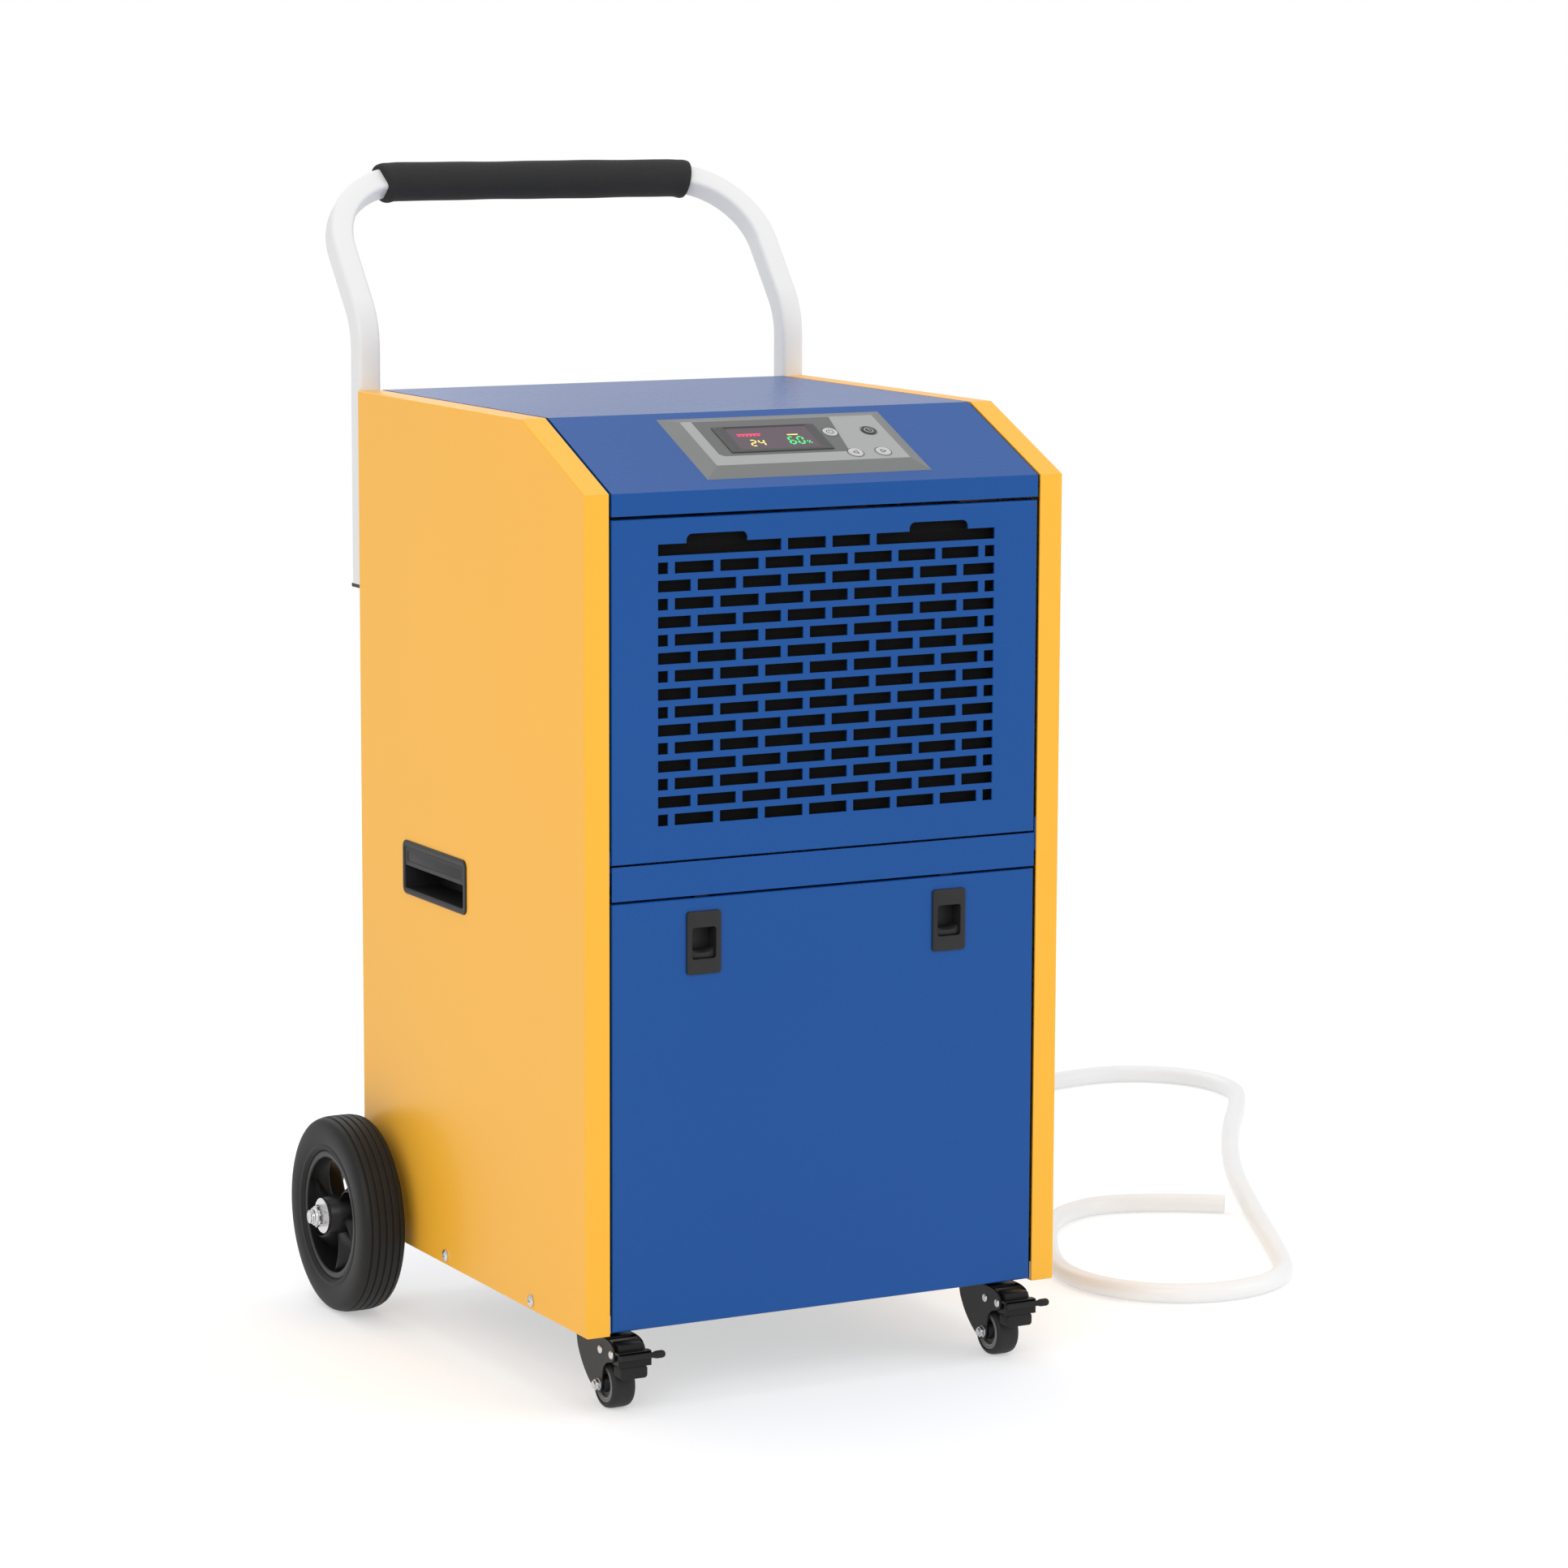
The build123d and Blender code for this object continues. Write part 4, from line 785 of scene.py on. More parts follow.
def ring_plate(
    place: Placement,
    outer: tuple[float, float, float],
    inner: tuple[float, float, float],
    span: tuple[float, float],
    edge: float,
    shift: tuple[float, float] = (0.0, 0.0),
) -> Solid:
    """A plate with a window in it: loops go up the outside, over the edges and down the window.

    Args:
        place: The plane it lies on.
        outer: Width, height and corner radius of the plate.
        inner: Width, height and corner radius of the window.
        span: Lower and upper height.
        edge: Width of the rounded edges.
        shift: Place of the window's middle on the plane.

    Returns:
        The plate.
    """
    low, high = span
    loops = [(rectangle(*outer), low), (rectangle(*outer), high - edge)]
    loops += [
        (rectangle(outer[0] - 0.6 * edge, outer[1] - 0.6 * edge, outer[2] - 0.3 * edge), high - 0.3 * edge),
        (rectangle(outer[0] - 2 * edge, outer[1] - 2 * edge, outer[2] - edge), high),
        (rectangle(inner[0] + edge, inner[1] + edge, inner[2] + edge / 2) + shift, high),
        (rectangle(*inner) + shift, high - edge / 2),
        (rectangle(*inner) + shift, low),
    ]
    return loft(place, loops, joined=True)


def slab(place: Placement, outline: np.ndarray, low: float, high: float, edge: float = 0.0) -> Solid:
    """A plate of any convex outline between two heights, with small chamfers at both faces."""
    if not edge:
        return loft(place, [(outline, low), (outline, high)])
    middle = outline.mean(axis=0)
    reach = np.linalg.norm(outline - middle, axis=1, keepdims=True)
    small = outline - (outline - middle) / reach * edge
    return loft(place, [(small, low), (outline, low + edge), (outline, high - edge), (small, high)])


def turned(
    profile: np.ndarray,
    centre: tuple[float, float, float],
    axis: int = 0,
    count: int = 64,
    solid: bool = False,
) -> Solid:
    """A profile of (distance along the axis, radius) turned about a line through a point.

    Args:
        profile: Points of shape (n, 2); closed on itself, or open with flat ends if solid.
        centre: A point on the axis, where the distance along it is zero.
        axis: 0, 1 or 2 for X, depth or Z.
        count: Steps round the axis.
        solid: True if the profile's two ends are closed by flat discs.

    Returns:
        The turned shell.
    """
    turn = np.arange(count) * math.tau / count
    along, radius = np.asarray(profile, float).T
    grid = np.zeros((len(along), count, 3))
    grid[..., axis] = along[:, None]
    grid[..., (axis + 1) % 3] = radius[:, None] * np.cos(turn)
    grid[..., (axis + 2) % 3] = radius[:, None] * np.sin(turn)
    return shell(grid + np.asarray(centre), joined=not solid)


def swept(
    path: np.ndarray, binormal: np.ndarray, section: np.ndarray, scale: Optional[np.ndarray] = None
) -> Solid:
    """A section carried along a path.

    At each point the section's first axis is the path's direction crossed with the binormal, and its
    second axis is the binormal.

    Args:
        path: Points of shape (n, 3).
        binormal: Unit vectors of shape (n, 3) or (3,), across the path.
        section: Section points of shape (m, 2).
        scale: Size of the section at each path point.

    Returns:
        The swept shell with flat ends.
    """
    along = np.gradient(path, axis=0)
    along /= np.linalg.norm(along, axis=1, keepdims=True)
    second = np.broadcast_to(binormal, path.shape)
    first = np.cross(second, along)
    first /= np.linalg.norm(first, axis=1, keepdims=True)
    second = np.cross(along, first)
    size = np.ones(len(path)) if scale is None else scale
    offset = section[None, :, :] * size[:, None, None]
    grid = path[:, None, :] + offset[..., :1] * first[:, None, :] + offset[..., 1:] * second[:, None, :]
    return shell(grid)


def filleted(corners: np.ndarray, radii: Sequence[float], step: float = 2.0) -> np.ndarray:
    """A path of straight runs joined by arcs.

    At each corner the arc starts the radius times the half turn's tangent before it, and its points go
    round the centre on the corner's bisector.

    Args:
        corners: Corner points of shape (n, 3).
        radii: Radius at each inner corner.
        step: Distance between points on the runs.

    Returns:
        Points along the path, of shape (m, 3).
    """
    pieces = []
    start = corners[0]
    for before, here, after, radius in zip(corners, corners[1:], corners[2:], radii):
        back = (before - here) / np.linalg.norm(before - here)
        ahead = (after - here) / np.linalg.norm(after - here)
        half = math.acos(float(np.clip(-back @ ahead, -1, 1))) / 2
        reach = radius * math.tan(half)
        middle = (back + ahead) / np.linalg.norm(back + ahead)
        centre = here + middle * radius / math.cos(half)
        first, last = here + back * reach, here + ahead * reach
        pieces.append(run(start, first, step))
        turn = np.linspace(0, 1, max(8, round(2 * half * radius / step)))[:, None]
        total = 2 * half
        mix = np.sin((1 - turn) * total) * (first - centre) + np.sin(turn * total) * (last - centre)
        pieces.append(centre + mix[1:-1] / math.sin(total))
        start = last
    pieces.append(run(start, corners[-1], step))
    return np.concatenate(pieces)


def run(start: np.ndarray, end: np.ndarray, step: float) -> np.ndarray:
    """Evenly spaced points from start to end, both included."""
    count = max(2, round(float(np.linalg.norm(end - start)) / step))
    return start + np.linspace(0, 1, count)[:, None] * (end - start)


def bar(
    place: Placement, a: tuple[float, float], b: tuple[float, float], width: float, span: tuple[float, float]
) -> Solid:
    """A straight mark on a plane from one (u, v) point to another."""
    start, end = np.array(a, float), np.array(b, float)
    along = (end - start) / np.linalg.norm(end - start)
    across = np.array([-along[1], along[0]]) * width / 2
    outline = np.stack([start - across, end - across, end + across, start + across])
    return loft(place, [(outline, span[0]), (outline, span[1])])


def arc_mark(
    place: Placement,
    centre: tuple[float, float],
    radius: float,
    turns: tuple[float, float],
    width: float,
    span: tuple[float, float],
) -> Solid:
    """A curved mark: a band of a width along an arc between two angles in degrees."""
    turn = np.radians(np.linspace(turns[0], turns[1], 40))
    ray = np.stack([np.cos(turn), np.sin(turn)], axis=-1)
    outer, inner = centre + ray * (radius + width / 2), centre + ray * (radius - width / 2)
    low, high = span
    corners = [place.at(inner, low), place.at(outer, low), place.at(outer, high), place.at(inner, high)]
    return shell(np.stack(corners, axis=1))


# ---- making pieces ------------------------------------------------------------------------------
@dataclass
class Workshop:
    """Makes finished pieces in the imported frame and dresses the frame's own nodes."""

    frame: dict
    front_y: float = 0.0
    effects: EffectLibrary = field(default_factory=EffectLibrary)
    made: dict[str, bpy.types.Material] = field(default_factory=dict)

    def __post_init__(self) -> None:
        """Find the cabinet's front face, from which depths are measured."""
        self.front_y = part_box("front_door")[0].y

    def material(self, finish: Finish) -> bpy.types.Material:
        """Return a finish's material, made on first use."""
        if finish.name not in self.made:
            self.made[finish.name] = finish.build(self.effects)
        return self.made[finish.name]

    def metres(self, points: np.ndarray) -> np.ndarray:
        """Machine millimetres as metres in the row's frame."""
        return np.asarray(points, float) * MM + (0.0, self.front_y, 0.0)

    def dress_nodes(self) -> None:
        """Give every node of the frame its finish."""
        for finish, names in NODE_FINISHES.items():
            for name in names:
                for slot in self.frame["nodes"][name].material_slots:
                    slot.material = self.material(finish)

    def piece(
        self,
        name: str,
        solids: Sequence[Solid],
        finish: Finish,
        body: str,
        replaces: Sequence[str] = (),
        crease: float = 32.0,
    ) -> bpy.types.Object:
        """Make one piece from its shells.

        Args:
            name: The piece's name.
            solids: Its closed shells, in machine millimetres.
            finish: Its finish.
            body: The body that it rides on.
            replaces: Nodes that it stands for.
            crease: Angle in degrees over which an edge stays sharp.

        Returns:
            The new object.
        """
        starts = np.cumsum([0] + [len(s.points) for s in solids[:-1]])
        points = self.metres(np.concatenate([s.points for s in solids]))
        faces = []
        for start, solid in zip(starts.tolist(), solids):
            faces += (solid.quads + start).tolist()
            faces += [[corner + start for corner in end] for end in solid.ends]
        mesh = bpy.data.meshes.new(name)
        mesh.from_pydata(points.tolist(), [], faces)
        mesh.polygons.foreach_set("use_smooth", np.ones(len(mesh.polygons), bool))
        mesh.set_sharp_from_angle(angle=math.radians(crease))
        mesh.update()
        mesh.materials.append(self.material(finish))
        made = bpy.data.objects.new(name, mesh)
        bpy.context.scene.collection.objects.link(made)
        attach(made, body)
        if replaces:
            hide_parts(*replaces)
        LOG.info("%s: %d faces on %s", name, len(faces), body)
        return made


# ---- studio -------------------------------------------------------------------------------------
@dataclass
class Studio:
    """Camera, lights and the pale floor."""

    camera_place: tuple[float, float, float] = (-1.88074, -3.72005, 1.09419)
    yaw: float = 28.08
    pitch: float = 8.76
    roll: float = 0.22
    lens: float = 116.13
    floor_radius: float = 60.0
    fade: tuple[float, float] = (1.2, 4.0)
    surround: float = 0.80

    def build(self) -> None:
        """Make the camera, the lights and the floor."""
        self.camera()
        self.lights()
        self.floor()
        LOG.info("studio: camera, lights and floor")

    def camera(self) -> None:
        """Stand the camera at the viewing angle: ahead from yaw and pitch, then rolled about it."""
        yaw, pitch, roll = (math.radians(a) for a in (self.yaw, self.pitch, self.roll))
        flat = math.cos(pitch)
        ahead = np.array([math.sin(yaw) * flat, math.cos(yaw) * flat, -math.sin(pitch)])
        level = np.array([math.cos(yaw), -math.sin(yaw), 0.0])
        up = np.cross(level, ahead)
        right = math.cos(roll) * level + math.sin(roll) * up
        top = -math.sin(roll) * level + math.cos(roll) * up
        matrix = np.eye(4)
        matrix[:3, :4] = np.stack([right, top, -ahead, self.camera_place], axis=1)
        data = bpy.data.cameras.new("camera")
        data.lens = self.lens
        data.sensor_width = 36.0
        data.clip_end = 300.0
        camera = bpy.data.objects.new("camera", data)
        camera.matrix_world = Matrix(matrix.tolist())
        bpy.context.scene.collection.objects.link(camera)
        bpy.context.scene.camera = camera

    def lights(self) -> None:
        """Light the scene by a pale surround and four large soft panels."""
        scene = bpy.context.scene
        scene.view_settings.view_transform = "Standard"
        world = bpy.data.worlds.new("surround")
        scene.world = world
        world.use_nodes = True
        background = world.node_tree.nodes["Background"]
        nodes = NodeTree(world.node_tree)
        seen = nodes.add("LightPath").outputs["Is Camera Ray"]
        background.inputs["Color"].default_value = (1.0, 1.0, 1.0, 1.0)
        nodes.feed(background.inputs["Strength"], nodes.remap(seen, self.surround, 1.0))
        panels = (
            ("key_panel", (-2.6, -3.2, 2.6), 2.4, 55.0),
            ("right_panel", (2.8, -2.4, 1.9), 2.0, 22.0),
            ("back_panel", (0.3, 3.2, 2.6), 2.2, 22.0),
            ("overhead_panel", (0.2, 0.3, 3.2), 2.6, 20.0),
        )
        for name, place, size, power in panels:
            data = bpy.data.lights.new(name, "AREA")
            data.size = size
            data.energy = power
            lamp = bpy.data.objects.new(name, data)
            back = np.array(place) - (0.0, 0.0, 0.45)
            back /= np.linalg.norm(back)
            side = np.cross((0.0, 0.0, 1.0), back)
            side /= np.linalg.norm(side)
            matrix = np.eye(4)
            matrix[:3, :4] = np.stack([side, np.cross(back, side), back, place], axis=1)
            lamp.matrix_world = Matrix(matrix.tolist())
            scene.collection.objects.link(lamp)

    def floor(self) -> None:
        """Lay a round floor whose paint fades into the surround far from the machine."""
        turn = np.arange(96) * math.tau / 96
        rim = np.stack([np.cos(turn), np.sin(turn), 0 * turn], axis=-1) * self.floor_radius
        mesh = bpy.data.meshes.new("studio_floor")
        mesh.from_pydata(rim.tolist(), [], [list(range(96))])
        material = bpy.data.materials.new("studio_floor_paint")
        material.use_nodes = True
        nodes = NodeTree(material.node_tree)
        shader = material.node_tree.nodes["Principled BSDF"]
        where = nodes.add("TexCoord").outputs["Object"]
        distance = nodes.add("VectorMath", {0: where}, operation="LENGTH").outputs["Value"]
        near, far = self.fade
        fade = nodes.add("MapRange", {"Value": distance, "From Min": near, "From Max": far}).outputs[0]
        paint = nodes.blend(fade, (0.62, 0.62, 0.62, 1.0), (0.0, 0.0, 0.0, 1.0))
        glow = nodes.blend(fade, (0.42, 0.42, 0.42, 1.0), (1.0, 1.0, 1.0, 1.0))
        nodes.feed(shader.inputs["Base Color"], paint)
        nodes.feed(shader.inputs["Emission Color"], glow)
        shader.inputs["Emission Strength"].default_value = 1.0
        shader.inputs["Roughness"].default_value = 0.9
        shader.inputs["Specular IOR Level"].default_value = 0.0
        mesh.materials.append(material)
        floor = bpy.data.objects.new("studio_floor", mesh)
        bpy.context.scene.collection.objects.link(floor)


# ---- drain hose ---------------------------------------------------------------------------------
@dataclass
class DrainHose:
    """The milky drain hose, from the spout over the floor to its bare end."""

    shop: Workshop
    radius: float = 8.5
    wall: float = 1.6
    length: float = 2.5086
    exit: tuple[float, float, float] = (0.130, 0.18165, 0.100)
    route: tuple[tuple[float, float, float], ...] = (
        (0.130, 0.18165, 0.100), (0.130, 0.25965, 0.100), (0.140, 0.33765, 0.056),
        (0.168, 0.42565, 0.0085), (0.234, 0.48765, 0.0085), (0.320, 0.53165, 0.0085),
        (0.424, 0.55765, 0.0085), (0.532, 0.57365, 0.0085), (0.638, 0.59165, 0.0085),
        (0.734, 0.61365, 0.0085), (0.818, 0.62365, 0.0085), (0.880, 0.57965, 0.0085),
        (0.894, 0.50565, 0.0085), (0.858, 0.44365, 0.0085), (0.788, 0.35165, 0.0085),
        (0.698, 0.21165, 0.0085), (0.618, 0.05165, 0.0085), (0.556, -0.08235, 0.0085),
        (0.512, -0.16435, 0.0085), (0.450, -0.19035, 0.0085), (0.386, -0.17435, 0.0085),
        (0.346, -0.12435, 0.0085), (0.344, -0.05635, 0.0085), (0.388, 0.03365, 0.0085),
        (0.442, 0.11565, 0.0085), (0.528, 0.14165, 0.0085), (0.608, 0.08365, 0.0085),
    )

    def centre_line(self) -> np.ndarray:
        """Points of the smooth line through the route, read from its spline.

        Returns:
            Points in metres, of shape (n, 3).
        """
        curve = bpy.data.curves.new("hose_line", "CURVE")
        curve.dimensions = "3D"
        curve.resolution_u = 12
        spline = curve.splines.new("NURBS")
        spline.points.add(len(self.route) - 1)
        for point, place in zip(spline.points, self.route):
            point.co = (*place, 1.0)
        spline.order_u = 3
        spline.use_endpoint_u = True
        line = bpy.data.objects.new("hose_line", curve)
        mesh = bpy.data.meshes.new_from_object(line)
        points = np.zeros(len(mesh.vertices) * 3)
        mesh.vertices.foreach_get("co", points)
        bpy.data.objects.remove(line)
        bpy.data.curves.remove(curve)
        bpy.data.meshes.remove(mesh)
        return points.reshape(-1, 3)

    def build(self) -> None:
        line = self.centre_line()
        along = np.gradient(line, axis=0)
        along /= np.linalg.norm(along, axis=1, keepdims=True)
        side = np.cross(along, (0.0, 0.0, 1.0))
        side /= np.linalg.norm(side, axis=1, keepdims=True)
        up = np.cross(side, along)
        ring = circle(1.0, 24)
        spokes = ring[None, :, :1] * side[:, None, :] + ring[None, :, 1:] * up[:, None, :]
        outer = line[:, None, :] + spokes * self.radius * MM
        inner = line[:, None, :] + spokes * (self.radius - self.wall) * MM
        tube = shell(np.concatenate([outer, inner[::-1]]), joined=True)
        tube.points = (tube.points - (0.0, self.shop.front_y, 0.0)) / MM
        hose = self.shop.piece("hose_tube", [tube], HOSE, "cabinet", ["drain_hose"])


# ---- handle -------------------------------------------------------------------------------------
@dataclass
class Handle:
    """The bent square tube with its foam sleeve."""

    shop: Workshop
    leg_x: float = 200.0
    leg_depth: float = 444.0
    foot_z: float = 612.0
    knee_z: float = 828.7
    top_z: float = 943.6
    grip_depth: float = 536.0
    knee_radius: float = 57.5
    corner_radius: float = 72.0
    size: float = 20.0
    corner: float = 3.4
    sleeve_radius: float = 17.0
    sleeve_half: float = 146.0
    bolt_heights: tuple[float, float] = (640.0, 745.0)

    def path(self) -> np.ndarray:
        """The tube's centre line, from one foot over the top to the other."""
        x, near, far = self.leg_x, self.leg_depth, self.grip_depth
        corners = np.array(
            [
                (-x, near, self.foot_z), (-x, near, self.knee_z), (-x, far, self.top_z),
                (x, far, self.top_z), (x, near, self.knee_z), (x, near, self.foot_z),
            ]
        )
        radii = (self.knee_radius, self.corner_radius, self.corner_radius, self.knee_radius)
        return filleted(corners, radii, 2.5)

    def binormals(self, path: np.ndarray) -> np.ndarray:
        """Directions across the bends: square to X and the path, and steady over the sloping part."""
        along = np.gradient(path, axis=0)
        across = np.cross(along, (1.0, 0.0, 0.0))
        across *= np.where(across[:, 1:2] < 0, -1.0, 1.0)
        rise = self.top_z - self.knee_z
        reach = self.grip_depth - self.leg_depth
        sloping = np.array([0.0, rise, -reach]) / math.hypot(rise, reach)
        flat = (path[:, 2] > self.knee_z + 0.25 * rise)[:, None]
        across = np.where(flat, sloping, across)
        return across / np.linalg.norm(across, axis=1, keepdims=True)

    def build(self) -> None:
        """Make the tube, the sleeve and the bolts."""
        path = self.path()
        across = self.binormals(path)
        tube = swept(path, across, rectangle(self.size, self.size, self.corner, 6))
        self.shop.piece("bent_handle_tube", [tube], WHITE, "cabinet", ["handle_tube"])
        self.sleeve(path, across)
        heads = []
        for side in Side:
            for z in self.bolt_heights:
                place = rear_plane(side.value * self.leg_x, z, self.leg_depth + self.size / 2)
                heads += pan_head(place, 5.5, 3.2, 8.0)
        self.shop.piece("handle_screws", heads, ZINC, "cabinet", ["handle_bolts"])

    def sleeve(self, path: np.ndarray, across: np.ndarray) -> None:
        """Make the foam sleeve: a circle along the top bar that swells softly and closes at its ends."""
        top = (np.abs(path[:, 0]) <= self.sleeve_half) & (path[:, 2] > self.knee_z)
        line, binormal = path[top], across[top]
        travel = np.concatenate([[0.0], np.cumsum(np.linalg.norm(np.diff(line, axis=0), axis=1))])
        total = travel[-1]
        start, end = np.linspace(0, 4, 9), total - np.linspace(4, 0, 9)
        places = np.concatenate([start, np.linspace(6, total - 6, 90), end])
        line = np.stack([np.interp(places, travel, line[:, i]) for i in range(3)], axis=1)
        from_end = np.minimum(places, total - places)
        lip = 0.6 * np.exp(-(((from_end - 5.0) / 3.0) ** 2))
        rounding = 2.2 * (1 - np.sqrt(1 - np.clip(1 - from_end / 2.2, 0, 1) ** 2))
        swell = 0.18 * np.sin(places / 23.0) + 0.12 * np.sin(places / 9.7)
        radius = self.sleeve_radius - 0.6 + lip + swell - rounding
        binormal = np.repeat(binormal[:1], len(line), axis=0)
        sleeve = swept(line, binormal, circle(1.0, 48), radius)
        self.shop.piece("foam_sleeve_piece", [sleeve], FOAM, "cabinet", ["handle_grip"], 50.0)


def pan_head(place: Placement, radius: float, height: float, shank: float) -> list[Solid]:
    """A domed screw head with a cross recess, and its shank behind it.

    The head's radius follows a quarter ellipse, and the recess sinks along two crossing arms.

    Args:
        place: The plane under the head.
        radius: Head radius.
        height: Head height.
        shank: Length of the shank behind the plane.

    Returns:
        The shells of the head and the shank.
    """
    turn = np.arange(48) * math.tau / 48
    share = np.concatenate([np.linspace(1, 0.62, 6), np.linspace(0.56, 0.08, 9)])
    radii = radius * share
    dome = height * np.sqrt(np.clip(1 - (share * 0.92) ** 2, 0, 1))
    arms = np.abs(np.sin(2 * turn)) * radii[:, None]
    depth = np.where((arms < radius * 0.16) & (radii[:, None] < radius * 0.56), height * 0.45, 0.0)
    grid = np.stack([place.at(circle(r), 0.0) for r in radii])
    grid = grid + (dome[:, None] - depth)[..., None] * place.w
    base = place.at(circle(radius), 0.0)[None]
    head = shell(np.concatenate([base, grid]))
    thread = loft(place, [(circle(radius * 0.52), -shank), (circle(radius * 0.52), 0.2)])
    return [head, thread]


# ---- cabinet ------------------------------------------------------------------------------------
@dataclass
class Cabinet:
    """The side panels' screws and the two recessed side pulls."""

    shop: Workshop
    half_width: float = 212.0
    screw_depths: tuple[float, float] = (100.5, 265.8)
    screw_z: float = 73.0
    pull_depth: float = 282.5
    pull_z: float = 387.5
    pull_length: float = 125.0
    pull_height: float = 45.0
    pocket: float = 32.0
    frame: float = 5.0
    lip_z: float = 2.0

    def build(self) -> None:
        """Make the screws and both pulls."""
        heads = []
        for side in Side:
            for depth in self.screw_depths:
                heads += pan_head(side.plane(self.half_width, depth, self.screw_z), 5.0, 2.6, 3.0)
        self.shop.piece("side_screws", heads, ZINC, "cabinet", ["panel_screws"])
        for side in Side:
            self.pull(side)

    def pull(self, side: Side) -> None:
        """Make one pull: a rounded frame, a pocket, and a plate over the pocket's upper part."""
        place = side.plane(self.half_width, self.pull_depth, self.pull_z)
        length, height = self.pull_length, self.pull_height
        room_l, room_h = length - 2 * self.frame, height - 2 * self.frame
        loops = [
            (rectangle(length - 6.2, height - 6.2, 4.0), 0.0),
            (rectangle(length, height, 6.0), 0.0),
            (rectangle(length, height, 6.0), 0.8),
            (rectangle(length - 0.8, height - 0.8, 5.6), 1.3),
            (rectangle(length - 2.4, height - 2.4, 4.8), 1.5),
            (rectangle(length - 8.2, height - 8.2, 2.4), 1.5),
            (rectangle(room_l, room_h, 2.0), 0.9),
            (rectangle(room_l, room_h, 2.0), 2.0 - self.pocket),
        ]
        back = [
            (rectangle(room_l + 4, room_h + 4, 3.0), -self.pocket),
            (rectangle(room_l + 4, room_h + 4, 3.0), -1.6),
            (rectangle(length - 6.2, height - 6.2, 4.0), -1.6),
        ]
        grid = np.stack([place.at(loop, rise) for loop, rise in loops])
        outer = np.stack([place.at(loop, rise) for loop, rise in back])
        floor = place.at(rectangle(room_l, room_h, 2.0), 2.0 - self.pocket)
        body = shell(np.concatenate([outer[:1], outer[1:], grid[:-1], floor[None]]))
        cover_h = room_h / 2 - self.lip_z
        cover_place = side.plane(self.half_width, self.pull_depth, self.pull_z + self.lip_z + cover_h / 2)
        cover = ring_plate(
            cover_place,
            (room_l + 0.6, cover_h + 0.6, 1.2), (room_l - 9.0, cover_h - 7.0, 1.0), (-1.4, 0.9),
            0.4,
        )
        panel = plate(cover_place, (room_l - 8.6, cover_h - 6.6), 1.0, (-1.6, 0.55), 0.3)
        name = f"{side.word}_pull"
        self.shop.piece(f"{name}_moulding", [body, cover, panel], BLACK_PLASTIC, "cabinet", [name])


